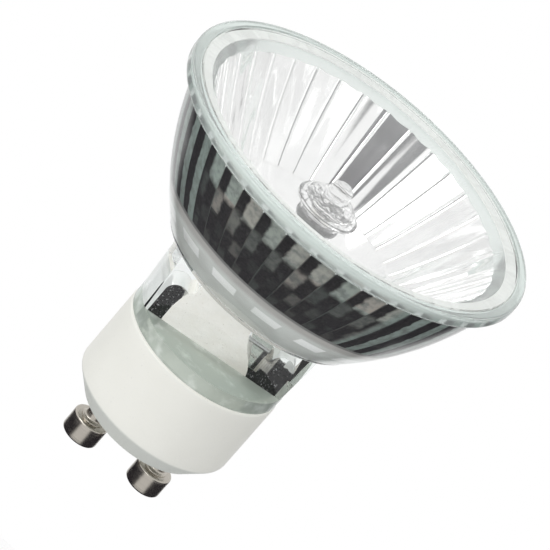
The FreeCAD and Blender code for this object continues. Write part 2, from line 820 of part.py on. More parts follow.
def base_cement():
    """The cement that fills the cup round and under the tongues, open round the two rivets."""
    body = new_body("base_cement", height=floor_top)
    top = seat_height - size("bed_drop") - floor_top
    bed = tongue_bottom - floor_top
    revolve(body, "bed", rectangle(ZERO, size("ceramic_bore_radius") - size("cement_gap"), ZERO, top))
    recess = new_sketch(body, "tongue_recess_outline", "XY_Plane", bed)
    bind(recess, "AttachmentOffset.Rotation.Angle", size("neck_turn"))
    wide = size("tongue_half_width") + size("cement_gap")
    deep = size("flat_distance") + size("cement_gap")
    draw(recess, rectangle(-wide, wide, -deep, deep))
    extrude(body, "tongue_recess", "Pocket", recess, top - bed, against=True)
    for side, name in ((-1, "left"), (1, "right")):
        opening = new_sketch(body, f"rivet_opening_outline_{name}", "XY_Plane")
        draw_circle(opening, size("pin_pitch") / 2 * side, ZERO,
                    size("washer_radius") + size("cement_gap") * 2)
        extrude(body, f"rivet_opening_{name}", "Pocket", opening, bed, against=True)
    return body


# Ceramic base and pins

def ceramic_base():
    body = new_body("ceramic_base")
    outer = size("ceramic_radius")
    foot = size("ceramic_foot_radius")
    cone = size("ceramic_cone_height")
    top = seat_height
    rounding = size("ceramic_round")
    revolve(body, "cup", [
        (ZERO, ZERO),
        (foot, ZERO),
        (outer, cone),
        (outer, top - rounding, rounding),
        (outer - rounding, top),
        (size("ceramic_bore_radius"), top),
        (size("ceramic_bore_radius"), floor_top),
        (ZERO, floor_top),
    ])
    for side, name in ((-1, "left"), (1, "right")):
        hole = new_sketch(body, f"pin_hole_outline_{name}", "XY_Plane")
        draw_circle(hole, size("pin_pitch") / 2 * side, ZERO,
                    size("pin_neck_radius") + size("pin_clearance"))
        extrude(body, f"pin_hole_{name}", "Pocket", hole, floor_top, against=True)
    return body


def pin(name, side):
    """A headed pin, riveted over a washer on the cup's floor, bored for its lead."""
    body = new_body(f"pin_{name}", across=size("pin_pitch") / 2 * side)
    neck = size("pin_neck_radius")
    head = size("pin_head_radius")
    rounding = size("pin_round")
    head_top = -size("pin_neck_length")
    head_low = head_top - size("pin_head_height")
    rivet_low = floor_top + size("washer_height")
    rivet_top = rivet_low + size("rivet_height")
    shoulder = size("pin_shoulder")
    bore = size("pin_bore_radius")
    revolve(body, "turned", [
        (ZERO, head_low),
        (head - rounding, head_low, rounding),
        (head, head_low + rounding),
        (head, head_top - shoulder, shoulder),
        (head - shoulder, head_top),
        (neck + shoulder, head_top),
        (neck, head_top + shoulder),
        (neck, rivet_low),
        (size("rivet_radius"), rivet_low),
        (size("rivet_radius") - shoulder, rivet_top),
        (bore, rivet_top),
        (bore, rivet_top - size("pin_bore_depth")),
        (ZERO, rivet_top - size("pin_bore_depth")),
    ])
    return body


def washer(name, side):
    return tube(
        f"washer_{name}", size("pin_neck_radius") + size("pin_clearance"), size("washer_radius"),
        size("washer_height"), height=floor_top, across=size("pin_pitch") / 2 * side,
    )


# Checks and writing

def check(pieces):
    """Stop if anything failed to build."""
    failed = [
        item.Name for item in document.Objects
        if "Invalid" in item.State or "Error" in item.State
    ]
    if failed:
        raise RuntimeError(f"these failed: {failed}")
    for piece in pieces:
        shape = piece.Shape
        if shape.isNull() or not shape.isValid():
            raise RuntimeError(f"{piece.Label} has no valid shape")


pieces = [
    reflector_glass(),
    mirror_coating(),
    cover_seal(),
    cover_glass(),
    capsule_envelope(),
    filament(),
    cement_plug(),
    base_cement(),
    ceramic_base(),
]
for side_name, side_sign in (("left", -1), ("right", 1)):
    pieces += [
        sealing_foil(side_name, side_sign),
        support_wire(side_name, side_sign),
        capsule_lead(side_name, side_sign),
        supply_lead(side_name, side_sign),
        crimp(side_name, side_sign),
        sleeve(side_name, side_sign),
        pin(side_name, side_sign),
        washer(side_name, side_sign),
    ]
document.recompute()
check(pieces)

os.makedirs("parts", exist_ok=True)
for piece in pieces:
    piece.Shape.exportStep(f"parts/{piece.Label}.step")
    print(f"{piece.Label}: {piece.Shape.Volume:.2f} mm3, {len(piece.Shape.Solids)} solid")
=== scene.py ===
# Twist-in spotlight bulb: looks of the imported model, in metres, in the model's own frame.
# +Z points out of the front glass and X runs along the line through the two pins.
import bpy
import bmesh
import math
from mathutils import Matrix, Vector


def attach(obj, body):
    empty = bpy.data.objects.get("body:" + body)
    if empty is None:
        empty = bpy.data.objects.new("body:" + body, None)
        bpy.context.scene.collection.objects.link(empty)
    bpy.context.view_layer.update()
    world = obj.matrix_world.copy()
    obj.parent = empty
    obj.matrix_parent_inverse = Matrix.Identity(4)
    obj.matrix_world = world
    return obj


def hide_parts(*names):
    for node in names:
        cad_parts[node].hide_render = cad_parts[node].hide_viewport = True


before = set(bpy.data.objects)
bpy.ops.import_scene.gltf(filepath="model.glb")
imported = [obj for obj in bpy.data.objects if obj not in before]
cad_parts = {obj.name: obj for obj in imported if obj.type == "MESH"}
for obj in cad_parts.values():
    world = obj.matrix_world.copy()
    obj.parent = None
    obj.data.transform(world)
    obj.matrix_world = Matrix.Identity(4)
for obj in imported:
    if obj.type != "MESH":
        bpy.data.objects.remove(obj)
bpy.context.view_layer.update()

MM = 0.001
TURN = 2 * math.pi
TINY = 0.01

# Steps round the axis
CUP_STEPS = 144
COVER_STEPS = 288
BULB_STEPS = 96
PIN_STEPS = 72
HOLE_STEPS = 48

# Neck and foot of the reflector glass, in millimetres
NECK_TURN = math.radians(8.5)
NECK_TOP_RADIUS = 11.77
NECK_FILLET = 0.5
SEAT_Z = 13.5
FOOT_TOP_Z = 15.6
FOOT_RADIUS = 11.1
FOOT_EDGE = 0.15
FLAT_Y = 4.4
SLOT_Y = 3.0
SLOT_X = 6.4
POCKET_X = 9.6
POCKET_CROWN_Z = 20.7
TONGUE_X = 8.2
TONGUE_BOTTOM_Z = 8.0

# Bowl and rim
BOWL_Z = 26.1
BOWL_RADIUS = 14.5
BOWL_ARC = 41.6
BOWL_TOP = (23.35, 43.2)
RIM_Z = 45.7
RIM_RADIUS = 25.0
RIM_LOW_Z = 43.95
RIM_ROUND = 0.45
RECESS_RADIUS = 23.7
RECESS_EDGE = 0.12
LEDGE_Z = 44.55
LEDGE_RADIUS = 22.0

# Mirror: a flute's shares are places across it, from one ridge to the next
FLUTES = 36
FLUTE_SHARES = (0.0, 0.025, 0.055, 0.1, 0.2, 0.35, 0.5, 0.65, 0.8, 0.9, 0.945, 0.975)
FLUTE_DEPTH = 0.2
FLUTE_POWER = 11.0
FLUTE_FLATNESS = 1.6
FLUTE_ROWS = 30
MOUTH_RADIUS = 20.7
MOUTH_Z = 43.3
FOCAL = 5.7
STEP_Z = 32.7
STEP_WIDTH = 0.45
WELL_Z = 27.5
WELL_RADIUS = 8.0
WELL_ROWS = 12
FILM_GAP = 0.03
FILM_THICKNESS = 0.12
FILM_MARGIN = 0.05

# Cover glass
COVER_RADIUS = 23.6
COVER_LOW_Z = 44.7
COVER_TOP_Z = 45.65
COVER_ROUND = 0.2
COVER_BEVEL = 0.1
COVER_INNER_ROW = 8.0

# Capsule: outlines of (radius, height above the foot of the pinch)
CAPSULE_Z = 19.2
BULB_FOOT = ((0, 8.0), (2.2, 8.0), (2.65, 8.4))
BULB_COLLAR = ((2.65, 15.0), (2.65, 16.0), (2.9, 16.3), (3.02, 16.75), (2.9, 17.2), (2.65, 17.5))
BULB_RING = (
    (2.9, 17.85), (3.5, 18.25), (4.0, 18.4), (4.28, 18.55), (4.35, 18.8), (4.26, 19.05), (3.95, 19.35),
    (3.3, 19.85),
)
BULB_NIB = (
    (2.5, 20.4), (1.9, 20.7), (1.6, 21.0), (1.55, 21.4), (1.45, 21.95), (1.1, 22.36), (0.6, 22.56),
    (0, 22.6),
)
HOLLOW_TOP = (
    (0.5, 20.0), (1.2, 19.95), (2.3, 19.6), (3.1, 19.3), (3.3, 19.15), (3.2, 18.9), (2.7, 18.5),
    (2.15, 18.0), (1.95, 17.4), (1.95, 16.4), (1.95, 9.6),
)
HOLLOW_FOOT = ((1.95, 9.4), (1.7, 9.0), (1.1, 8.75), (0, 8.7))
PINCH_WIDTH = 6.0
PINCH_DEPTH = 2.6
PINCH_ROUND = 0.6
PINCH_HEIGHTS = (0, 4.0, 8.3)

# Cement plug: outlines of (across the slot, height)
PLUG_LEFT = -6.35
PLUG_LOW_Z = 11.6
PLUG_TOP_Z = 27.2
PLUG_RIGHT_EDGE = (
    (5.25, 13.0), (5.3, 14.6), (4.9, 16.0), (4.1, 17.2), (3.1, 18.4), (2.3, 19.8), (2.0, 21.4), (2.5, 23.2),
    (3.4, 25.0), (4.4, 26.6), (5.2, PLUG_TOP_Z),
)
PLUG_BULGE = (
    (PLUG_LEFT, 20.6), (-6.8, 20.3), (-7.3, 19.4), (-7.6, 17.5), (-7.6, 15.5), (-7.4, 13.8),
    (PLUG_LEFT, 13.3),
)
PLUG_ROUND = 0.35
PLUG_TOUCH = 0.03
DARK_WALL_X = 4.0

# Ceramic cup
CUP_RADIUS = 11.2
CUP_CONE_TOP = (11.05, 2.72)
CUP_WALL_Z = 3.1
CUP_FOOT_RADIUS = 8.45
CUP_CONE_FOOT = (8.85, 0.17)
CUP_ROUND = 0.35
CUP_BORE = 9.8
CUP_BORE_EDGE = 0.15
CUP_FLOOR_Z = 4.0
CUP_FLOOR_EDGE = 0.3

# Contact pins
PIN_X = 5.0
PIN_HOLE = 1.3
PIN_LOW_Z = -6.9
PIN_HEAD = 2.5
PIN_HEAD_TOP = -3.9
PIN_HEAD_ROUND = 0.3
PIN_HEAD_EDGE = 0.25
PIN_NECK = 1.6
PIN_SHANK = 1.2
PIN_FILLET = 0.27
RIVET_Z = 4.4
RIVET_TOP_Z = 5.1
RIVET_RADIUS = 1.9
PIN_BORE = 0.55
PIN_BORE_Z = 0.1

# Camera, fitted to the photograph
CAMERA_TARGET = Vector((0, 0, 27.163)) * MM
CAMERA_ELEVATION = math.radians(25.434)
CAMERA_AZIMUTH = math.radians(5.7)
CAMERA_ROLL = math.radians(40.86)
CAMERA_DISTANCE = 0.6
CAMERA_OFFSET = 0.523 * MM
CAMERA_LENS = 322.8

# Studio: lamps as name, place, power and width; zones as directions between which they fade in
LAMPS = (("key", (-0.35, -0.25, 0.4), 0.85, 0.25), ("fill", (-0.2, -0.45, 0.13), 0.25, 0.25))
FLOOR_Z = -0.1
FLOOR_RADIUS = 0.13
WHITE = (1.0, 1.0, 1.0)
GROUND_ZONE = (-0.62, -0.72)
SIDE_ZONE = (-0.12, -0.3)
SIDE_ZONE_ACROSS = (0.4, 0.6)
CARD_FOOT = (0.28, 0.34)
CARD_HEAD = (0.95, 0.88)
CARD_LEFT = (-0.29, -0.26)
CARD_RIGHT = (0.52, 0.49)
CARD_FRONT = (0.0, -0.1)
COVER_CROSSINGS = 4

# Material numbers of the reflector glass's faces
CLEAR, BACK, POCKET, FLANGE, FOOT = range(5)

# Painted reflections and shade: heights in millimetres, pairs are where a mark fades in or out
# Turn about Z of the line towards the camera; the painted reflections are laid out round it
CAMERA_FACING_TURN = math.radians(84.3)
CELL_ROWS = 4
STRIPS = 12
STRIP_LOW = (29.5, 29.65)
STRIP_HIGH = (30.75, 30.6)
PINK_FROM = (31.0, 31.7)
CURLS_FROM = (38.15, 38.25)
RING_LINES = ((37.5, 0.08), (37.82, 0.05), (38.2, 0.06))
COLLAR_LOW = (35.4, 35.5)
COLLAR_HIGH = (36.45, 36.35)
CONE_SHADE = (3.2, 2.8)

# Black patches on the pocket walls, in millimetres in the frame of the neck's flats
DARK_WALL_LEAN = (-0.2, -0.4)
DARK_WALL_LEFT_TOP = (20.4, 20.2)
DARK_WALL_RIGHT_EDGE = (4.6, 4.75)
DARK_WALL_RIGHT_TOP = (17.3, 17.1)
DARK_WALL_BACK_EDGE = (6.3, 6.5)
DARK_WALL_BACK_TOP = (16.9, 16.6)
KNOB_EDGE = (6.9, 7.1)
KNOB_TOP = (19.2, 19.0)
WINDOW_FOOT = (16.4, 16.5)
WINDOW_EDGE = (5.9, 5.8)

# Each glass's edge tone is painted shade, laid on where the glass is seen edge on
GLASSES = {
    "pressed_glass": {
        "tint": (0.93, 0.955, 0.945), "edge": (0.72, 0.77, 0.75), "rough": 0.02, "clear": 1.0, "ior": 1.51,
    },
    "flange_glass": {
        "tint": (0.76, 0.83, 0.8), "edge": (0.6, 0.66, 0.63), "rough": 0.3, "clear": 0.7, "ior": 1.51,
    },
    "foot_glass": {
        "tint": (0.5, 0.56, 0.5), "edge": (0.5, 0.57, 0.535), "rough": 0.3, "clear": 0.35, "ior": 1.51,
    },
    "flat_glass": {
        "tint": (0.995, 0.997, 0.995), "edge": (0.9, 0.92, 0.91), "rough": 0.01, "clear": 1.0, "ior": 1.51,
    },
    "quartz": {
        "tint": (0.985, 0.985, 0.985), "edge": (0.9, 0.9, 0.91), "rough": 0.01, "clear": 1.0, "ior": 1.46,
    },
}


# Camera, light and floor

def add_camera():
    tilt, swing = CAMERA_ELEVATION, CAMERA_AZIMUTH
    back = Vector((
        -math.cos(tilt) * math.sin(swing),
        -math.cos(tilt) * math.cos(swing),
        math.sin(tilt),
    ))
    across = Vector((math.cos(swing), -math.sin(swing), 0))
    up = back.cross(across)
    right = across * math.cos(CAMERA_ROLL) + up * math.sin(CAMERA_ROLL)
    top = up * math.cos(CAMERA_ROLL) - across * math.sin(CAMERA_ROLL)
    camera = bpy.data.objects.new("camera", bpy.data.cameras.new("camera"))
    camera.data.lens = CAMERA_LENS
    camera.data.sensor_width = 36
    camera.data.clip_start = 0.01
    place = CAMERA_TARGET + back * CAMERA_DISTANCE + across * CAMERA_OFFSET
    camera.matrix_world = Matrix.Translation(place) @ Matrix((right, top, back)).transposed().to_4x4()
    bpy.context.collection.objects.link(camera)
    bpy.context.scene.camera = camera


def add_lamp(name, place, power, width):
    lamp = bpy.data.objects.new(name, bpy.data.lights.new(name, "AREA"))
    lamp.data.energy = power
    lamp.data.size = width
    place = Vector(place)
    lamp.location = place
    lamp.rotation_euler = (CAMERA_TARGET - place).to_track_quat("-Z", "Y").to_euler()
    bpy.context.collection.objects.link(lamp)


class Shader:
    """A node tree with short calls for the nodes that the materials share."""

    def __init__(self, name, tree=None):
        self.material = None
        if tree is None:
            self.material = bpy.data.materials.new(name)
            self.material.use_nodes = True
            tree = self.material.node_tree
        self.tree = tree
        tree.nodes.clear()

    def put(self, socket, value):
        if isinstance(value, bpy.types.NodeSocket):
            self.tree.links.new(value, socket)
        elif isinstance(value, (tuple, list)) and len(value) == 3 and socket.type == "RGBA":
            socket.default_value = (*value, 1)
        else:
            socket.default_value = value

    def node(self, kind, settings=None, **inputs):
        made = self.tree.nodes.new(kind)
        for name, value in (settings or {}).items():
            setattr(made, name, value)
        for name, value in inputs.items():
            self.put(made.inputs[name.replace("_", " ")], value)
        return made

    def math(self, operation, first, second=0.0, third=0.0):
        made = self.node("ShaderNodeMath", {"operation": operation})
        for socket, value in zip(made.inputs, (first, second, third)):
            self.put(socket, value)
        return made.outputs[0]

    def product(self, first, *others):
        for other in others:
            first = self.math("MULTIPLY", first, other)
        return first

    def largest(self, first, *others):
        for other in others:
            first = self.math("MAXIMUM", first, other)
        return first

    def away(self, value, middle):
        """Distance of a value from a middle."""
        return self.math("ABSOLUTE", self.math("SUBTRACT", value, middle))

    def step(self, value, low, high):
        """0 at low, 1 at high and smooth between; low may be the larger of the two."""
        smooth_step = {"interpolation_type": "SMOOTHSTEP"}
        made = self.node("ShaderNodeMapRange", smooth_step, Value=value, From_Min=low, From_Max=high)
        return made.outputs["Result"]

    def band(self, value, rise, fall):
        """1 between two edges, each given as where it starts and where it is full."""
        return self.product(self.step(value, *rise), self.step(value, *fall))

    def spread(self, value, low, high):
        """Scale a value between 0 and 1 to run from low to high."""
        return self.node("ShaderNodeMapRange", Value=value, To_Min=low, To_Max=high).outputs["Result"]

    def mix(self, share, first, second):
        """Mix of two colours."""
        made = self.node("ShaderNodeMix", {"data_type": "RGBA"})
        for index, value in ((0, share), (6, first), (7, second)):
            self.put(made.inputs[index], value)
        return made.outputs[2]

    def mix_values(self, share, first, second):
        made = self.node("ShaderNodeMix", {"data_type": "FLOAT"})
        for index, value in ((0, share), (2, first), (3, second)):
            self.put(made.inputs[index], value)
        return made.outputs[0]

    def blend(self, share, first, second):
        """Mix of two surfaces."""
        made = self.node("ShaderNodeMixShader")
        for socket, value in zip(made.inputs, (share, first, second)):
            self.put(socket, value)
        return made.outputs[0]

    def place(self):
        return self.node("ShaderNodeTexCoord").outputs["Object"]

    def parts(self, vector):
        return self.node("ShaderNodeSeparateXYZ", Vector=vector).outputs

    def spot(self, turn=0.0):
        """Place in millimetres, seen in a frame that is turned about Z."""
        vector = self.place()
        if turn:
            about_z = {"rotation_type": "Z_AXIS"}
            vector = self.node("ShaderNodeVectorRotate", about_z, Vector=vector, Angle=-turn).outputs[0]
        scaled = self.node("ShaderNodeVectorMath", {"operation": "SCALE"}, Vector=vector, Scale=1 / MM)
        return self.parts(scaled.outputs[0])

    def noise(self, size, detail=3.0, stretch=None):
        """Noise whose features are about this many millimetres wide."""
        vector = self.place()
        if stretch:
            vector = self.node("ShaderNodeMapping", Vector=vector, Scale=stretch).outputs[0]
        made = self.node("ShaderNodeTexNoise", Vector=vector, Scale=1 / (size * MM), Detail=detail)
        return made.outputs[0]

    def bump(self, height, depth, before=None):
        """Bump whose full height is this many millimetres deep."""
        made = self.node("ShaderNodeBump", Height=height, Strength=1.0, Distance=depth * MM)
        if before:
            self.put(made.inputs["Normal"], before)
        return made.outputs[0]

    def finish(self, surface, kind="ShaderNodeOutputMaterial"):
        self.node(kind, Surface=surface)
        return self.material


def dark_outside(shader, across, up):
    """Dark ground and low sides, which only the polished metal outside the glass mirrors."""
    ground = shader.step(up, *GROUND_ZONE)
    sides = shader.product(
        shader.step(up, *SIDE_ZONE), shader.step(shader.math("ABSOLUTE", across), *SIDE_ZONE_ACROSS),
    )
    return shader.largest(ground, sides)


def dark_card(shader, across, deep, up, crossings):
    """The card that shows as dark panels in the flutes; rays that also cross the bulb miss it."""
    swing = shader.math("DIVIDE", across, deep)
    return shader.product(
        shader.band(up, CARD_FOOT, CARD_HEAD), shader.band(swing, CARD_LEFT, CARD_RIGHT),
        shader.step(deep, *CARD_FRONT), shader.math("LESS_THAN", crossings, COVER_CROSSINGS + 0.5),
    )


def add_world():
    """White all round for the eye; softer light from below; dark zones in what metal and mirror show."""
    world = bpy.data.worlds.new("studio")
    world.use_nodes = True
    bpy.context.scene.world = world
    shader = Shader("studio", world.node_tree)
    across, deep, up = shader.parts(shader.node("ShaderNodeTexCoord").outputs["Generated"])
    path = shader.node("ShaderNodeLightPath").outputs
    crossings = path["Transmission Depth"]
    card_tone = shader.mix(shader.step(up, 0.8, 0.5), (0.03, 0.026, 0.035), (0.12, 0.125, 0.13))
    glossy = shader.mix(
        shader.math("GREATER_THAN", crossings, 0.5),
        shader.mix(dark_outside(shader, across, up), WHITE, (0.03, 0.028, 0.035)),
        shader.mix(dark_card(shader, across, deep, up, crossings), WHITE, card_tone),
    )
    plain = shader.mix(shader.step(up, -0.9, 0.6), (0.48, 0.48, 0.49), (0.92, 0.92, 0.92))
    seen = shader.largest(path["Is Camera Ray"], path["Is Transmission Ray"])
    mirrored = shader.largest(path["Is Glossy Ray"], path["Is Transmission Ray"])
    mirrored = shader.product(mirrored, shader.math("GREATER_THAN", path["Glossy Depth"], 0.5))
    colour = shader.mix(mirrored, shader.mix(seen, plain, WHITE), glossy)
    background = shader.node("ShaderNodeBackground", Color=colour, Strength=1.0)
    shader.finish(background.outputs[0], "ShaderNodeOutputWorld")


def add_floor():
    ring = even_turns(96)
    corners = [(FLOOR_RADIUS * math.cos(turn), FLOOR_RADIUS * math.sin(turn), FLOOR_Z) for turn in ring]
    mesh = bpy.data.meshes.new("floor")
    mesh.from_pydata(corners, [], [tuple(range(len(ring)))])
    floor = bpy.data.objects.new("floor", mesh)
    bpy.context.collection.objects.link(floor)
    shader = Shader("floor_paper")
    tone = shader.mix(shader.noise(4.0), (0.93, 0.93, 0.93), (0.96, 0.96, 0.96))
    surface = shader.node("ShaderNodeBsdfPrincipled", Base_Color=tone, Roughness=0.9)
    mesh.materials.append(shader.finish(surface.outputs[0]))
    floor.visible_glossy = False


# Shared mesh code

def place_piece(piece, node):
    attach(piece, "root")
    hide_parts(node)
    return piece


def new_object(name, build, *materials):
    mesh = bpy.data.meshes.new(name)
    bmesh.ops.recalc_face_normals(build, faces=build.faces)
    build.to_mesh(mesh)
    build.free()
    made = bpy.data.objects.new(name, mesh)
    bpy.context.collection.objects.link(made)
    for material in materials:
        mesh.materials.append(material)
    return made


def set_materials(piece, *materials):
    piece.data.materials.clear()
    for material in materials:
        piece.data.materials.append(material)


def smooth(piece, degrees):
    bpy.ops.object.select_all(action="DESELECT")
    piece.select_set(True)
    bpy.context.view_layer.objects.active = piece
    bpy.ops.object.shade_smooth_by_angle(angle=math.radians(degrees))


def arc(start, end, radius, steps):
    """Points from start up to but without end; a positive radius puts the centre left of the chord."""
    chord = Vector(end) - Vector(start)
    half = chord.length / 2
    side = Vector((-chord.y, chord.x)).normalized() * math.copysign(1, radius)
    centre = (Vector(start) + Vector(end)) / 2 + side * math.sqrt(max(radius * radius - half * half, 0))
    first = math.atan2(start[1] - centre.y, start[0] - centre.x)
    last = math.atan2(end[1] - centre.y, end[0] - centre.x)
    sweep = last - first
    if radius > 0 and sweep < 0:
        sweep += TURN
    if radius < 0 and sweep > 0:
        sweep -= TURN
    size = abs(radius)
    return [
        (centre.x + size * math.cos(first + sweep * index / steps),
         centre.y + size * math.sin(first + sweep * index / steps))
        for index in range(steps)
    ]


def curve(points, steps):
    """A smooth line through the points, without its last point."""
    ends = [points[0], *points, points[-1]]
    made = []
    for before, first, last, after in zip(ends, ends[1:], ends[2:], ends[3:]):
        for index in range(steps):
            t = index / steps
            made.append(tuple(
                0.5 * (2 * b + (c - a) * t + (2 * a - 5 * b + 4 * c - d) * t * t
                       + (3 * b - 3 * c + d - a) * t ** 3)
                for a, b, c, d in zip(before, first, last, after)
            ))
    return made


def line(start, end, steps):
    return [
        (start[0] + (end[0] - start[0]) * index / steps, start[1] + (end[1] - start[1]) * index / steps)
        for index in range(steps)
    ]


def even_turns(steps):
    return [TURN * index / steps for index in range(steps)]


def turned_mesh(rows, turns, closed=False):
    """Turn rows of (radius, height) about Z; a row may be a function of the angle. Radius 0 is a pole."""
    build = bmesh.new()
    rings = []
    steps = len(turns)
    for row in rows:
        if not callable(row) and row[0] == 0:
            rings.append([build.verts.new((0, 0, row[1] * MM))])
            continue
        ring = []
        for angle in turns:
            radius, height = row(angle) if callable(row) else row
            place = (radius * math.cos(angle) * MM, radius * math.sin(angle) * MM, height * MM)
            ring.append(build.verts.new(place))
        rings.append(ring)
    pairs = list(zip(rings, rings[1:]))
    if closed:
        pairs.append((rings[-1], rings[0]))
    for low, high in pairs:
        for index in range(steps):
            following = (index + 1) % steps
            corners = [low[index % len(low)], low[following % len(low)],
                       high[following % len(high)], high[index % len(high)]]
            unique = list(dict.fromkeys(corners))
            if len(unique) > 2:
                build.faces.new(unique)
    return build


def block(low, high):
    build = bmesh.new()
    bmesh.ops.create_cube(build, size=1.0)
    size = [(b - a) * MM for a, b in zip(low, high)]
    middle = [(a + b) / 2 * MM for a, b in zip(low, high)]
    bmesh.ops.scale(build, vec=size, verts=build.verts)
    bmesh.ops.translate(build, vec=middle, verts=build.verts)
    return build


def prism(outline, half_depth):
    """An outline of (x, z) points carried to both sides of the X-Z plane."""
    build = bmesh.new()
    near = [build.verts.new((x * MM, -half_depth * MM, z * MM)) for x, z in outline]
    far = [build.verts.new((x * MM, half_depth * MM, z * MM)) for x, z in outline]
    build.faces.new(near)
    build.faces.new(far[::-1])
    for index in range(len(outline)):
        following = (index + 1) % len(outline)
        build.faces.new((near[index], far[index], far[following], near[following]))
    return build


def turn_back(build):
    """Turn a tool back by the neck's angle, which combine() will add."""
    swing = Matrix.Rotation(-NECK_TURN, 3, "Z")
    bmesh.ops.rotate(build, cent=(0, 0, 0), matrix=swing, verts=build.verts)
    return build


def combine(piece, build, operation):
    """Boolean with a tool that is drawn in the frame of the neck's flats."""
    tool = new_object("tool", build)
    tool.matrix_world = Matrix.Rotation(NECK_TURN, 4, "Z")
    bpy.context.view_layer.update()
    change = piece.modifiers.new("change", "BOOLEAN")
    change.operation = operation
    change.solver = "EXACT"
    change.object = tool
    apply_modifiers(piece)
    bpy.data.objects.remove(tool)


def apply_modifiers(piece):
    graph = bpy.context.evaluated_depsgraph_get()
    mesh = bpy.data.meshes.new_from_object(piece.evaluated_get(graph))
    piece.modifiers.clear()
    piece.data = mesh


# Mirror and glass

def scallop(share):
    """How far a place across a flute lies behind the line of the ridges."""
    return 1 - abs(2 * share - 1) ** FLUTE_POWER


def flatten(share):
    """Share of the radius that turns the round bottom of a flute into a nearly flat facet."""
    half = TURN / FLUTES / 2
    return 1 + FLUTE_FLATNESS * (math.cos(half) / math.cos((2 * share - 1) * half) - 1)


def mirror_radius(height):
    return math.sqrt(MOUTH_RADIUS ** 2 - 4 * FOCAL * (MOUTH_Z - height))


def cone_radius(height):
    return LEDGE_RADIUS - (LEDGE_Z - height) * (LEDGE_RADIUS - MOUTH_RADIUS) / (LEDGE_Z - MOUTH_Z)


def flute_radius(share, height):
    ridge = mirror_radius(height)
    return ridge * (flatten(share) + FLUTE_DEPTH / MOUTH_RADIUS * scallop(share))


def flute_top(share):
    """Height at which a flute runs out in the cone at the mouth."""
    low, high = MOUTH_Z - 0.5, LEDGE_Z
    for _ in range(30):
        middle = (low + high) / 2
        if cone_radius(middle) < flute_radius(share, middle):
            low = middle
        else:
            high = middle
    return low


FLUTE_TOPS = {share: flute_top(share) for share in FLUTE_SHARES}
FLUTE_TURNS = [TURN * (flute + share) / FLUTES for flute in range(FLUTES) for share in FLUTE_SHARES]


def share_at(angle):
    """The one of the flute's shares that is nearest to this angle."""
    share = (angle * FLUTES / TURN) % 1.0
    return min(FLUTE_SHARES, key=lambda known: min(abs(known - share), 1 - abs(known - share)))


def flute_row(share, inset):
    def row(angle):
        flute = share_at(angle)
        top = FLUTE_TOPS[flute]
        height = top + (STEP_Z - top) * share + inset
        return flute_radius(flute, height) - inset, height
    return row


def mirror_rows(inset):
    """From the mouth down over the flutes, the step and the well to the flat floor's middle."""
    rows = [flute_row(index / FLUTE_ROWS, inset) for index in range(FLUTE_ROWS + 1)]
    step = mirror_radius(STEP_Z) - STEP_WIDTH
    mean = (step + WELL_RADIUS) / (4 * FOCAL)
    bend = 2 * FOCAL * (mean * mean + 1) ** 1.5
    well = (WELL_RADIUS - inset, WELL_Z + inset)
    middle = (0, WELL_Z + inset)
    rows += arc((step - inset, STEP_Z + inset), well, -bend, WELL_ROWS)
    return rows + line(well, middle, 4) + [middle]


def slot_outline():
    arch = (POCKET_X - SLOT_X) / 2
    spring = POCKET_CROWN_Z - arch
    right = [(POCKET_X, TONGUE_BOTTOM_Z - 1), (POCKET_X, spring)]
    right += arc((POCKET_X, spring), (SLOT_X, spring), arch * 1.02, 12)[1:]
    right += [(SLOT_X, spring), (SLOT_X, WELL_Z + 1)]
    left = [(-x, z) for x, z in reversed(right)]
    return right + left


def neck_rows():
    """From the middle of the seat up the foot and the round neck to its fillet."""
    foot_top = (FOOT_RADIUS, FOOT_TOP_Z)
    rows = [(0, SEAT_Z), (FOOT_RADIUS - 1, SEAT_Z)]
    rows += [(FOOT_RADIUS - FOOT_EDGE, SEAT_Z), (FOOT_RADIUS, SEAT_Z + FOOT_EDGE), foot_top]
    rows += line(foot_top, (NECK_TOP_RADIUS, BOWL_Z), 4)[1:]
    shelf = (NECK_TOP_RADIUS + NECK_FILLET, BOWL_Z)
    rows += arc((NECK_TOP_RADIUS, BOWL_Z - NECK_FILLET), shelf, -NECK_FILLET, 4)
    return rows + [shelf]


def bowl_rows():
    """The bowl's lower edge, its curved outside and the underside of the flange."""
    corner = (BOWL_RADIUS + 0.05, BOWL_Z + 0.28)
    rows = [(BOWL_RADIUS - 0.25, BOWL_Z), (BOWL_RADIUS - 0.05, BOWL_Z + 0.07), corner]
    rows += arc(corner, BOWL_TOP, BOWL_ARC, 28)[1:]
    return rows + line(BOWL_TOP, (RIM_RADIUS - RIM_ROUND, RIM_LOW_Z), 4)


def rim_rows():
    """The flange's rounded edge, its top, the recess of the cover glass and the start of the cone."""
    inner = RIM_RADIUS - RIM_ROUND
    low, high = (RIM_RADIUS, RIM_LOW_Z + RIM_ROUND), (RIM_RADIUS, RIM_Z - RIM_ROUND)
    rows = arc((inner, RIM_LOW_Z), low, RIM_ROUND, 5) + line(low, high, 2)
    rows += arc(high, (inner, RIM_Z), RIM_ROUND, 5)
    rows += [(inner, RIM_Z), (RECESS_RADIUS + RECESS_EDGE, RIM_Z), (RECESS_RADIUS, RIM_Z - RECESS_EDGE)]
    rows += [(RECESS_RADIUS, LEDGE_Z), (LEDGE_RADIUS, LEDGE_Z), (LEDGE_RADIUS - 0.02, LEDGE_Z - 0.02)]
    return rows + [(cone_radius(LEDGE_Z - 0.2), LEDGE_Z - 0.2)]


def glass_rows():
    return neck_rows() + bowl_rows() + rim_rows() + mirror_rows(0)


def in_neck_slot(place):
    """Whether a place, in millimetres and in the frame of the flats, is on the slot's walls."""
    return abs(place.y) < SLOT_Y + TINY and place.z < WELL_Z


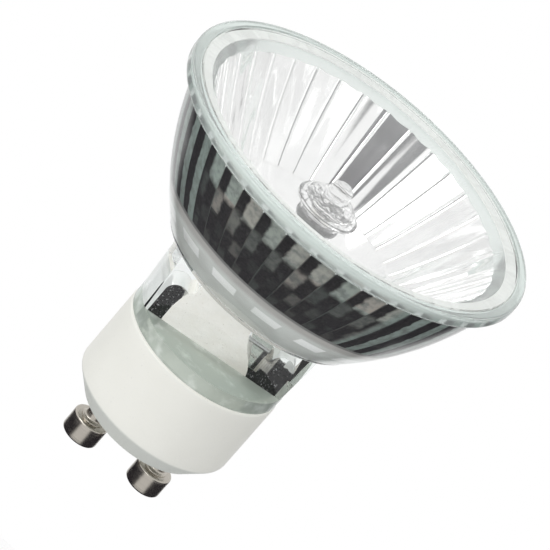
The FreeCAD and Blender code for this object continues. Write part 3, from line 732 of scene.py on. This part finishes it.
def glass_slot(face):
    """Which of the reflector glass's materials a face takes."""
    centre = Matrix.Rotation(-NECK_TURN, 3, "Z") @ face.center / MM
    height = centre.z
    radius = math.hypot(centre.x, centre.y)
    inward = face.normal.x * face.center.x + face.normal.y * face.center.y < 0
    if WELL_Z - TINY < height < MOUTH_Z + 0.12 and radius < MOUTH_RADIUS + 0.5:
        if inward or face.normal.z > 0.5:
            return BACK
    in_pocket = DARK_WALL_X < abs(centre.x) < POCKET_X + TINY and SEAT_Z < height < POCKET_CROWN_Z + TINY
    if in_pocket and in_neck_slot(centre):
        return POCKET
    if radius > BOWL_TOP[0] and height > BOWL_TOP[1]:
        return FLANGE
    if MOUTH_RADIUS - 0.1 < radius < LEDGE_RADIUS and height > MOUTH_Z:
        return FLANGE
    if SEAT_Z - TINY < height < FOOT_TOP_Z + TINY:
        if radius > FOOT_RADIUS - 0.3 or face.normal.z > 0.9:
            return FOOT
    return CLEAR


def split_pockets(piece):
    """Cut the slot's walls beside the plug and at the pockets' foot and crown, where materials change."""
    build = bmesh.new()
    build.from_mesh(piece.data)
    swing = Matrix.Rotation(NECK_TURN, 3, "Z")
    back = swing.inverted()
    cuts = [((side * DARK_WALL_X, 0, 0), (1, 0, 0)) for side in (1, -1)]
    cuts += [((0, 0, height), (0, 0, 1)) for height in (SEAT_Z, POCKET_CROWN_Z)]
    for place, normal in cuts:
        walls = [face for face in build.faces if in_neck_slot(back @ face.calc_center_median() / MM)]
        edges = list(dict.fromkeys(edge for face in walls for edge in face.edges))
        corners = list(dict.fromkeys(corner for face in walls for corner in face.verts))
        bmesh.ops.bisect_plane(
            build, geom=walls + edges + corners, dist=1e-7, plane_co=swing @ Vector(place) * MM,
            plane_no=swing @ Vector(normal),
        )
    build.to_mesh(piece.data)
    build.free()


def reflector_glass():
    piece = new_object("reflector_glass_body", turned_mesh(glass_rows(), FLUTE_TURNS))
    far = BOWL_RADIUS + 1
    for side in (-1, 1):
        low, high = sorted((FLAT_Y * side, far * side))
        combine(piece, block((-far, low, FOOT_TOP_Z), (far, high, BOWL_Z)), "DIFFERENCE")
    tongues = block((-TONGUE_X, -FLAT_Y, TONGUE_BOTTOM_Z), (TONGUE_X, FLAT_Y, SEAT_Z + 0.5))
    combine(piece, tongues, "UNION")
    combine(piece, prism(slot_outline(), SLOT_Y), "DIFFERENCE")
    split_pockets(piece)
    set_materials(
        piece, clear_glass("pressed_glass"), coating_back(), pocket_wall(), clear_glass("flange_glass"),
        foot_glass(),
    )
    for face in piece.data.polygons:
        face.material_index = glass_slot(face)
    smooth(piece, 28)
    place_piece(piece, "reflector_glass")


def mirror_coating():
    """A film that follows the flutes and the well, with a hole over the neck's slot."""
    outer = mirror_rows(FILM_GAP)[:-1]
    inner = mirror_rows(FILM_GAP + FILM_THICKNESS)[:-1]
    piece = new_object("mirror_film", turned_mesh(outer + inner[::-1], FLUTE_TURNS, closed=True))
    wide, deep = SLOT_X + FILM_MARGIN, SLOT_Y + FILM_MARGIN
    combine(piece, block((-wide, -deep, WELL_Z - 1), (wide, deep, WELL_Z + 4)), "DIFFERENCE")
    set_materials(piece, mirror_film())
    smooth(piece, 28)
    place_piece(piece, "mirror_coating")


def cover_glass():
    """A flat disc; the row just inside its rounded edge keeps smooth shading from bending the flat top."""
    flat = COVER_RADIUS - COVER_ROUND
    rows = [(0, COVER_LOW_Z)]
    rows += line((COVER_INNER_ROW, COVER_LOW_Z), (COVER_RADIUS - COVER_BEVEL, COVER_LOW_Z), 3)
    rows += [(COVER_RADIUS - COVER_BEVEL, COVER_LOW_Z), (COVER_RADIUS, COVER_LOW_Z + COVER_BEVEL)]
    rows += arc((COVER_RADIUS, COVER_TOP_Z - COVER_ROUND), (flat, COVER_TOP_Z), COVER_ROUND, 5)
    rows += [(flat, COVER_TOP_Z), (flat - 0.05, COVER_TOP_Z)]
    rows += [(COVER_INNER_ROW, COVER_TOP_Z), (0, COVER_TOP_Z)]
    build = turned_mesh(rows, even_turns(COVER_STEPS))
    piece = new_object("cover_glass_disc", build, clear_glass("flat_glass"))
    smooth(piece, 28)
    place_piece(piece, "cover_glass")


# Capsule

def lifted(points):
    """Points of the bulb's outline, raised from the foot of the pinch to their place."""
    return [(radius, CAPSULE_Z + height) for radius, height in points]


def capsule_envelope():
    outer = lifted(BULB_FOOT)
    outer += line(outer[-1], lifted(BULB_COLLAR)[0], 6)[1:]
    outer += curve(lifted(BULB_COLLAR + BULB_RING + BULB_NIB), 4) + lifted(BULB_NIB[-1:])
    inner = lifted([(0, HOLLOW_TOP[0][1])]) + curve(lifted(HOLLOW_TOP), 4) + lifted(HOLLOW_FOOT)
    piece = new_object("capsule_bulb", turned_mesh(outer, even_turns(BULB_STEPS)))
    combine(piece, turn_back(turned_mesh(inner, even_turns(BULB_STEPS))), "DIFFERENCE")
    combine(piece, pinch_block(), "UNION")
    set_materials(piece, quartz())
    piece.visible_glossy = False
    smooth(piece, 50)
    place_piece(piece, "capsule_envelope")


def pinch_block():
    """The flattened end of the bulb, with rounded upright edges."""
    wide, thick = PINCH_WIDTH / 2 - PINCH_ROUND, PINCH_DEPTH / 2 - PINCH_ROUND
    centres = ((wide, thick), (-wide, thick), (-wide, -thick), (wide, -thick))
    outline = []
    for quarter, (across, deep) in enumerate(centres):
        for step in range(5):
            angle = TURN / 4 * (quarter + step / 4)
            outline.append((across + PINCH_ROUND * math.cos(angle), deep + PINCH_ROUND * math.sin(angle)))
    build = bmesh.new()
    rings = [
        [build.verts.new((x * MM, y * MM, (CAPSULE_Z + height) * MM)) for x, y in outline]
        for height in PINCH_HEIGHTS
    ]
    build.faces.new(rings[0])
    build.faces.new(rings[-1])
    for low, high in zip(rings, rings[1:]):
        for index in range(len(outline)):
            following = (index + 1) % len(outline)
            build.faces.new((low[index], low[following], high[following], high[index]))
    return build


# Cement plug, ceramic cup and pins

def cement_plug():
    outline = [(PLUG_LEFT, PLUG_LOW_Z), (PLUG_RIGHT_EDGE[0][0], PLUG_LOW_Z)]
    outline += curve(PLUG_RIGHT_EDGE, 3) + [PLUG_RIGHT_EDGE[-1], (PLUG_LEFT, PLUG_TOP_Z), *PLUG_BULGE]
    piece = new_object("cement_plug_body", prism(outline, SLOT_Y + PLUG_TOUCH))
    soften = piece.modifiers.new("soften", "BEVEL")
    soften.width = PLUG_ROUND * MM
    soften.segments = 4
    apply_modifiers(piece)
    piece.data.transform(Matrix.Rotation(NECK_TURN, 4, "Z"))
    set_materials(piece, plug_cement())
    smooth(piece, 40)
    place_piece(piece, "cement_plug")


def ceramic_base():
    """A round cup with a coned foot, open at the top, and two holes for the pins."""
    cone_end, wall_low = (CUP_RADIUS, CUP_WALL_Z), (CUP_RADIUS, SEAT_Z - CUP_ROUND)
    wall_top = (CUP_RADIUS - CUP_ROUND, SEAT_Z)
    bore_top, bore_low = (CUP_BORE, SEAT_Z - CUP_BORE_EDGE), (CUP_BORE, CUP_FLOOR_Z + CUP_FLOOR_EDGE)
    rows = [(0, 0), (CUP_FOOT_RADIUS - 0.25, 0)]
    rows += arc((CUP_FOOT_RADIUS, 0.0), CUP_CONE_FOOT, 0.5, 4)
    rows += line(CUP_CONE_FOOT, CUP_CONE_TOP, 5) + arc(CUP_CONE_TOP, cone_end, 0.7, 4)
    rows += line(cone_end, wall_low, 8) + arc(wall_low, wall_top, CUP_ROUND, 5)
    rows += [wall_top, (CUP_BORE + CUP_BORE_EDGE, SEAT_Z), bore_top] + line(bore_top, bore_low, 4)
    rows += [bore_low, (CUP_BORE - CUP_FLOOR_EDGE, CUP_FLOOR_Z), (0, CUP_FLOOR_Z)]
    piece = new_object("ceramic_cup", turned_mesh(rows, even_turns(CUP_STEPS)))
    for side in (-1, 1):
        low, high = -1, CUP_FLOOR_Z + 1
        hole = turned_mesh([(0, low), (PIN_HOLE, low), (PIN_HOLE, high), (0, high)], even_turns(HOLE_STEPS))
        bmesh.ops.translate(hole, vec=(PIN_X * side * MM, 0, 0), verts=hole.verts)
        combine(piece, turn_back(hole), "DIFFERENCE")
    set_materials(piece, ceramic())
    smooth(piece, 30)
    place_piece(piece, "ceramic_base")


def pin_rows():
    """From the head's underside up over its shoulder and the shank to the riveted end and its bore."""
    low_side, high_side = (PIN_HEAD, PIN_LOW_Z + PIN_HEAD_ROUND), (PIN_HEAD, PIN_HEAD_TOP - PIN_HEAD_EDGE)
    shoulder = (PIN_HEAD - PIN_HEAD_EDGE, PIN_HEAD_TOP)
    throat, shank = (PIN_SHANK + 0.25, PIN_HEAD_TOP + 0.18), (PIN_SHANK, PIN_HEAD_TOP + 0.45)
    rows = [(0, PIN_LOW_Z), (PIN_HEAD - 0.4, PIN_LOW_Z)]
    rows += arc((PIN_HEAD - PIN_HEAD_ROUND, PIN_LOW_Z), low_side, PIN_HEAD_ROUND, 5)
    rows += line(low_side, high_side, 4) + arc(high_side, shoulder, PIN_HEAD_EDGE, 4)
    rows += [shoulder, (PIN_NECK + 0.02, PIN_HEAD_TOP), (PIN_NECK, PIN_HEAD_TOP + 0.1), throat]
    rows += arc(throat, shank, -PIN_FILLET, 4) + line(shank, (PIN_SHANK, RIVET_Z), 6)
    rows += [(PIN_SHANK, RIVET_Z), (RIVET_RADIUS, RIVET_Z), (RIVET_RADIUS, RIVET_TOP_Z - 0.35)]
    rows += [(RIVET_RADIUS - 0.25, RIVET_TOP_Z), (PIN_BORE, RIVET_TOP_Z)]
    return rows + [(PIN_BORE, PIN_BORE_Z), (0, PIN_BORE_Z)]


def pin(name, side, material):
    build = turned_mesh(pin_rows(), even_turns(PIN_STEPS))
    bmesh.ops.translate(build, vec=(PIN_X * side * MM, 0, 0), verts=build.verts)
    piece = new_object(f"contact_{name}", build, material)
    smooth(piece, 30)
    place_piece(piece, f"pin_{name}")


# Materials

def darker(tone, share):
    return tuple(value * share for value in tone)


def see_through(shader, glass):
    """Glass for the eye, clear for lamps and soft light."""
    clear = shader.node("ShaderNodeBsdfTransparent", Color=(0.98, 0.985, 0.98))
    path = shader.node("ShaderNodeLightPath").outputs
    passing = shader.largest(path["Is Shadow Ray"], path["Is Diffuse Ray"])
    return shader.blend(passing, glass.outputs[0], clear.outputs[0])


def glass_tone(shader, name):
    tint = GLASSES[name]["tint"]
    return shader.mix(shader.noise(3.0), tint, darker(tint, 0.92))


def glass_skin(shader, name, bump, tone):
    """Glass of this tone, with a darker edge tone painted where it is seen edge on, as painted shade."""
    look = GLASSES[name]
    rough = look["rough"]
    # Painted shade: the edge tone fades in where the glass is seen edge on
    facing = shader.node("ShaderNodeLayerWeight", Blend=0.5, Normal=bump).outputs["Facing"]
    glass = shader.node(
        "ShaderNodeBsdfPrincipled", IOR=look["ior"], Transmission_Weight=look["clear"], Normal=bump,
        Base_Color=shader.mix(shader.step(facing, 0.65, 1.0), tone, look["edge"]),
        Roughness=shader.spread(shader.noise(0.6, 2.0), rough * 0.3, rough),
    )
    return see_through(shader, glass)


def clear_glass(name):
    """Glass with faint waves."""
    shader = Shader(name)
    bump = shader.bump(shader.noise(5.0, 2.0), 0.006)
    return shader.finish(glass_skin(shader, name, bump, glass_tone(shader, name)))


def foot_glass():
    """Cloudy glass where the foot stands on the cement."""
    shader = Shader("foot_glass")
    bump = shader.bump(shader.noise(5.0, 2.0), 0.006)
    clouds = shader.step(shader.noise(2.6, 4.0), 0.5, 0.8)
    tone = shader.mix(clouds, glass_tone(shader, "foot_glass"), (0.8, 0.86, 0.82))
    return shader.finish(glass_skin(shader, "foot_glass", bump, tone))


def quartz():
    """Wavy quartz with painted shade for its refraction: dark curling lines, lines under the ring and a
    dark collar.
    """
    shader = Shader("quartz")
    bump = shader.bump(shader.noise(1.6, 1.0), 0.1)
    clear = glass_skin(shader, "quartz", bump, glass_tone(shader, "quartz"))
    # Dark surface for the painted refraction shade
    shade_skin = shader.node(
        "ShaderNodeBsdfPrincipled", Base_Color=(0.06, 0.064, 0.062),
        Roughness=shader.spread(shader.noise(0.5), 0.2, 0.35), Normal=bump,
    )
    return shader.finish(shader.blend(refraction_shade_mask(shader), clear, shade_skin.outputs[0]))


def refraction_shade_mask(shader):
    """Mask of the painted refraction shade: curls in the melted dome, lines under the ring and the collar.
    """
    up = shader.spot()[2]
    rings = {"wave_type": "RINGS", "rings_direction": "Z"}
    curls = shader.node(
        "ShaderNodeTexWave", rings, Vector=shader.place(), Scale=560.0, Distortion=14.0, Detail=2.5,
        Detail_Scale=0.9,
    ).outputs[1]
    lines = shader.product(shader.step(curls, 0.93, 0.985), 0.95, shader.step(up, *CURLS_FROM))
    for height, half in RING_LINES:
        lines = shader.largest(lines, shader.step(shader.away(up, height), half * 1.5, half))
    collar = shader.band(up, COLLAR_LOW, COLLAR_HIGH)
    return shader.largest(shader.product(lines, 0.8), shader.product(collar, 0.85))


def cell_reflection_paint(shader, share, level, chance):
    """Painted reflections: how light the cells are, a checker of rows that turns dark towards the step."""
    middle = shader.product(
        shader.band(level, (0.34, 0.44), (0.7, 0.6)), shader.step(share, 0.54, 0.38),
        shader.spread(chance, 0.1, 0.62),
    )
    third = shader.product(
        shader.band(level, (0.14, 0.2), (0.36, 0.3)), shader.step(share, 0.44, 0.6),
        shader.spread(chance, 0.0, 0.3),
    )
    return shader.largest(
        shader.product(shader.step(share, 0.36, 0.5), shader.step(level, 0.6, 0.69)), middle, third,
        shader.product(shader.step(share, 0.5, 0.36), shader.step(level, 0.14, 0.08), 0.1),
        shader.product(shader.step(shader.noise(1.0, 3.0), 0.5, 0.9), 0.2),
    )


def flute_reflection_paint(shader, turn, up, mottle):
    """Painted reflections: cells in front and behind, stripes at both sides, pale ridges and bright glints
    at their tops.
    """
    count = shader.product(turn, FLUTES / TURN)
    flute = shader.math("FLOOR", count)
    share = shader.math("SUBTRACT", count, flute)
    level = shader.node("ShaderNodeMapRange", Value=up, From_Min=STEP_Z, From_Max=MOUTH_Z).outputs["Result"]
    row = shader.math("FLOOR", shader.product(shader.math("POWER", level, 0.75), CELL_ROWS))
    seed = shader.node("ShaderNodeCombineXYZ", X=flute, Y=row, Z=3.0).outputs[0]
    chance = shader.node("ShaderNodeTexWhiteNoise", Vector=seed).outputs["Value"]
    wobble = shader.math("MULTIPLY_ADD", shader.noise(1.1, 3.0), 0.24, -0.12)
    soft_share = shader.math("ADD", share, wobble)
    soft_level = shader.math("ADD", level, shader.product(wobble, 0.4))
    cells = cell_reflection_paint(shader, soft_share, soft_level, chance)
    stripes = shader.product(shader.step(soft_share, 0.5, 0.57), shader.spread(level, 0.7, 0.9))
    # Painted reflections follow the turn from the camera: cells in front and behind, stripes at the sides
    facing = shader.math("ABSOLUTE", shader.math("SINE", shader.math("SUBTRACT", turn, CAMERA_FACING_TURN)))
    aside = shader.step(facing, 0.66, 0.7)
    edge = shader.away(share, 0.5)
    # Painted highlights along the ridges
    ridges = shader.product(shader.step(edge, 0.46, 0.48), shader.spread(level, 0.1, 0.5))
    light = shader.largest(shader.mix_values(aside, cells, stripes), ridges)
    # Dark and bright tones of the painted reflections
    dark = shader.mix(mottle, (0.008, 0.008, 0.01), (0.055, 0.05, 0.053))
    bright = shader.mix(chance, (0.36, 0.43, 0.395), (0.47, 0.43, 0.39))
    bright = shader.mix(aside, bright, (0.34, 0.41, 0.38))
    bright = shader.mix(shader.step(shader.noise(1.0, 3.0), 0.35, 0.8), bright, (0.2, 0.22, 0.21))
    # Painted glints at the ridges' tops
    glint = shader.math("GREATER_THAN", edge, shader.math("MULTIPLY_ADD", level, -1.6, 1.97))
    return shader.mix(glint, shader.mix(light, dark, bright), (0.95, 0.97, 0.96))


def reflection_strip_mask(shader, turn, up):
    """Painted reflections: white strips round the band under the flutes."""
    along = shader.math("FRACT", shader.math("MULTIPLY_ADD", turn, STRIPS / TURN, 0.3))
    return shader.product(
        shader.band(along, (0.26, 0.3), (0.88, 0.84)), shader.band(up, STRIP_LOW, STRIP_HIGH),
    )


def band_reflection_paint(shader, up, strips):
    """Pale band under the flutes with painted reflections, pinkish near the step; painted shade in the line
    of the step.
    """
    streaks = shader.noise(2.5, 3.0, stretch=(1, 1, 3))
    pale = shader.mix(streaks, (0.6, 0.6, 0.58), (0.78, 0.81, 0.79))
    pink = shader.mix(streaks, (0.42, 0.42, 0.41), (0.62, 0.59, 0.57))
    pale = shader.mix(shader.step(up, *PINK_FROM), pale, pink)
    pale = shader.mix(strips, pale, WHITE)
    # Painted shade along the line of the step
    shade = shader.product(shader.step(up, STEP_Z - 0.5, STEP_Z - 0.3), 0.7)
    return shader.mix(shade, pale, (0.16, 0.16, 0.16))


def coating_back():
    """The mirror's back seen through the glass, with painted reflections: dark cells and stripes in the
    flutes, pale below them.
    """
    shader = Shader("coating_back")
    across, deep, up = shader.spot()
    turn = shader.math("ARCTAN2", deep, across)
    mottle = shader.noise(0.3, 3.0)
    # Painted reflections: white strips round the band
    strips = reflection_strip_mask(shader, turn, up)
    below = shader.step(up, STEP_Z + 0.1, STEP_Z - 0.15)
    tone = shader.mix(below, flute_reflection_paint(shader, turn, up, mottle), band_reflection_paint(shader, up, strips))
    skin = shader.node(
        "ShaderNodeBsdfPrincipled", Base_Color=tone, Normal=shader.bump(mottle, 0.01),
        Metallic=shader.largest(shader.product(strips, 0.95), shader.spread(below, 0.15, 0.5)),
        Roughness=shader.spread(mottle, 0.25, 0.45), Specular_IOR_Level=0.2,
    )
    return shader.finish(skin.outputs[0])


def mirror_film():
    shader = Shader("mirror_film")
    streaks = shader.noise(3.0, 4.0, stretch=(1, 1, 0.15))
    tone = shader.mix(streaks, (0.98, 0.98, 0.98), (0.995, 0.995, 0.99))
    metal = shader.node(
        "ShaderNodeBsdfPrincipled", Base_Color=tone, Metallic=1.0,
        Roughness=shader.spread(streaks, 0.03, 0.07), Normal=shader.bump(shader.noise(3.0), 0.001),
    )
    return shader.finish(metal.outputs[0])


def dark_wall_mask(shader, across, deep, up):
    """Where the front and back walls are black: left of the plug, and low at the right but for a window."""
    wobble = shader.math("MULTIPLY_ADD", shader.noise(1.2, 3.0), 1.8, -0.9)
    lean = shader.math("MULTIPLY_ADD", up, 0.35, shader.math("ADD", across, wobble))
    high = shader.math("ADD", up, shader.product(wobble, 0.5))
    left = shader.product(shader.step(lean, *DARK_WALL_LEAN), shader.step(high, *DARK_WALL_LEFT_TOP))
    low = shader.product(shader.step(across, *DARK_WALL_RIGHT_EDGE), shader.step(high, *DARK_WALL_RIGHT_TOP))
    knob = shader.product(shader.step(across, *KNOB_EDGE), shader.step(high, *KNOB_TOP))
    window = shader.product(
        shader.step(up, *WINDOW_FOOT), shader.step(across, *WINDOW_EDGE), shader.step(deep, 0.0, -0.1),
    )
    front = shader.product(shader.largest(low, knob), shader.math("SUBTRACT", 1.0, window))
    back = shader.product(shader.step(across, *DARK_WALL_BACK_EDGE), shader.step(high, *DARK_WALL_BACK_TOP))
    right = shader.mix_values(shader.math("GREATER_THAN", deep, 0.0), front, back)
    return shader.largest(left, right)


def pocket_wall():
    """Glass with black, mottled patches that have bright specks; the pockets' ends are pale."""
    shader = Shader("pocket_wall")
    across, deep, up = shader.spot(NECK_TURN)
    walls = shader.step(shader.math("ABSOLUTE", deep), SLOT_Y - 0.1, SLOT_Y - 0.02)
    ends = shader.math("SUBTRACT", 1.0, walls)
    cover = shader.product(dark_wall_mask(shader, across, deep, up), walls)
    cover = shader.largest(cover, shader.product(ends, 0.7))
    specks = shader.step(shader.noise(0.22, 4.0), 0.6, 0.7)
    tone = shader.mix(specks, (0.008, 0.008, 0.009), (0.4, 0.4, 0.41))
    coat = shader.node(
        "ShaderNodeBsdfPrincipled", Base_Color=shader.mix(ends, tone, (0.95, 0.97, 0.96)),
        Roughness=shader.spread(specks, 0.55, 0.4), Specular_IOR_Level=0.08,
        Normal=shader.bump(shader.noise(0.4, 4.0), 0.08),
    )
    glass = shader.node(
        "ShaderNodeBsdfPrincipled", Base_Color=(0.95, 0.96, 0.955), Roughness=0.02, IOR=1.51,
        Transmission_Weight=1.0,
    )
    return shader.finish(shader.blend(cover, see_through(shader, glass), coat.outputs[0]))


def cement(name, tone):
    shader = Shader(name)
    patches = shader.noise(2.2, 4.0)
    grains = shader.noise(0.25, 3.0)
    shade = shader.mix(patches, darker(tone, 0.9), tone)
    shade = shader.mix(shader.step(grains, 0.62, 0.75), shade, darker(tone, 0.72))
    return shader.finish(paste(shader, shade, patches, 0.25, grains))


def paste(shader, shade, patches, depth, grains):
    """Dry, grainy surface of this shade."""
    bump = shader.bump(grains, 0.05, before=shader.bump(patches, depth))
    return shader.node(
        "ShaderNodeBsdfPrincipled", Base_Color=shade, Roughness=shader.spread(grains, 0.7, 0.95),
        Normal=bump,
    ).outputs[0]


def plug_cement():
    """White cement with painted shade that makes it darker towards its lower right."""
    shader = Shader("plug_cement")
    across, _, up = shader.spot(NECK_TURN)
    lower = shader.math("SUBTRACT", shader.product(across, 0.7), up)
    grains = shader.noise(0.25, 3.0)
    patches = shader.noise(1.6, 4.0)
    shade = shader.mix(patches, (0.9, 0.87, 0.81), (1.0, 0.99, 0.96))
    # Painted shade towards the lower right
    shade = shader.mix(shader.step(lower, -17.5, -10.0), shade, (0.62, 0.6, 0.54))
    shade = shader.mix(shader.step(grains, 0.64, 0.76), shade, (0.7, 0.67, 0.6))
    return shader.finish(paste(shader, shade, patches, 0.2, grains))


def ceramic():
    """Pale ceramic, with painted shade that makes its coned foot a little darker."""
    shader = Shader("ceramic")
    patches = shader.noise(4.0, 3.0)
    grains = shader.noise(0.3, 3.0)
    shade = shader.mix(patches, (0.79, 0.79, 0.735), (0.83, 0.83, 0.78))
    shade = shader.mix(shader.step(grains, 0.66, 0.78), shade, (0.73, 0.73, 0.69))
    # Painted shade on the coned foot
    shade = shader.mix(shader.step(shader.spot()[2], *CONE_SHADE), shade, (0.645, 0.665, 0.625))
    bump = shader.bump(patches, 0.03, before=shader.bump(grains, 0.012))
    body = shader.node(
        "ShaderNodeBsdfPrincipled", Base_Color=shade, Roughness=shader.spread(grains, 0.38, 0.55),
        Normal=bump,
    )
    return shader.finish(body.outputs[0])


def metal(name, tone, low=0.2, high=0.4, rings=0.0):
    """Metal with a fine grain and, where asked, turning marks this many millimetres deep."""
    shader = Shader(name)
    grain = shader.noise(0.8, 4.0)
    shade = shader.mix(grain, darker(tone, 0.85), tone)
    bump = shader.bump(shader.noise(0.4, 3.0), 0.006)
    if rings:
        turning = shader.noise(0.5, 3.0, stretch=(0.02, 0.02, 3))
        bump = shader.bump(turning, rings, before=bump)
        shade = shader.mix(shader.product(turning, 0.4), shade, darker(tone, 0.6))
        shade = shader.mix(shader.step(shader.spot()[2], 0.0, -3.3), darker(tone, 1.05), shade)
    body = shader.node(
        "ShaderNodeBsdfPrincipled", Base_Color=shade, Metallic=1.0,
        Roughness=shader.spread(grain, low, high), Normal=bump,
    )
    return shader.finish(body.outputs[0])


def fibre():
    shader = Shader("glass_fibre")
    weave = shader.node("ShaderNodeTexWave", Vector=shader.place(), Scale=1200.0, Distortion=3.0).outputs[1]
    tone = shader.mix(weave, (0.62, 0.6, 0.55), (0.82, 0.8, 0.75))
    body = shader.node(
        "ShaderNodeBsdfPrincipled", Base_Color=tone, Roughness=shader.spread(weave, 0.7, 0.9),
        Normal=shader.bump(weave, 0.03),
    )
    return shader.finish(body.outputs[0])


def dress(node, material):
    """Give a CAD node that stays a finished material."""
    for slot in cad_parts[node].material_slots:
        slot.material = material


def dress_nodes():
    dress("base_cement", cement("bed_cement", (0.5, 0.56, 0.53)))
    dress("cover_seal", cement("seal_paste", (0.86, 0.88, 0.86)))
    dress("filament", metal("tungsten", (0.3, 0.29, 0.3), 0.3, 0.5))
    molybdenum = metal("molybdenum", (0.5, 0.5, 0.52), 0.25, 0.4)
    lead = metal("lead_metal", (0.6, 0.6, 0.6))
    nickel = metal("nickel_wire", (0.62, 0.6, 0.57))
    crimped = metal("crimp_metal", (0.6, 0.58, 0.54))
    woven = fibre()
    steel = metal("washer_steel", (0.5, 0.5, 0.5))
    for side in ("left", "right"):
        dress(f"foil_{side}", molybdenum)
        dress(f"support_{side}", molybdenum)
        dress(f"capsule_lead_{side}", lead)
        dress(f"supply_lead_{side}", nickel)
        dress(f"crimp_{side}", crimped)
        dress(f"sleeve_{side}", woven)
        dress(f"washer_{side}", steel)


bpy.context.scene.view_settings.view_transform = "Standard"
add_camera()
add_world()
add_floor()
for lamp in LAMPS:
    add_lamp(*lamp)
reflector_glass()
mirror_coating()
cover_glass()
capsule_envelope()
cement_plug()
ceramic_base()
pin_metal = metal("pin_metal", (0.54, 0.505, 0.45), 0.16, 0.32, rings=0.02)
for name, side in (("left", -1), ("right", 1)):
    pin(name, side, pin_metal)
dress_nodes()
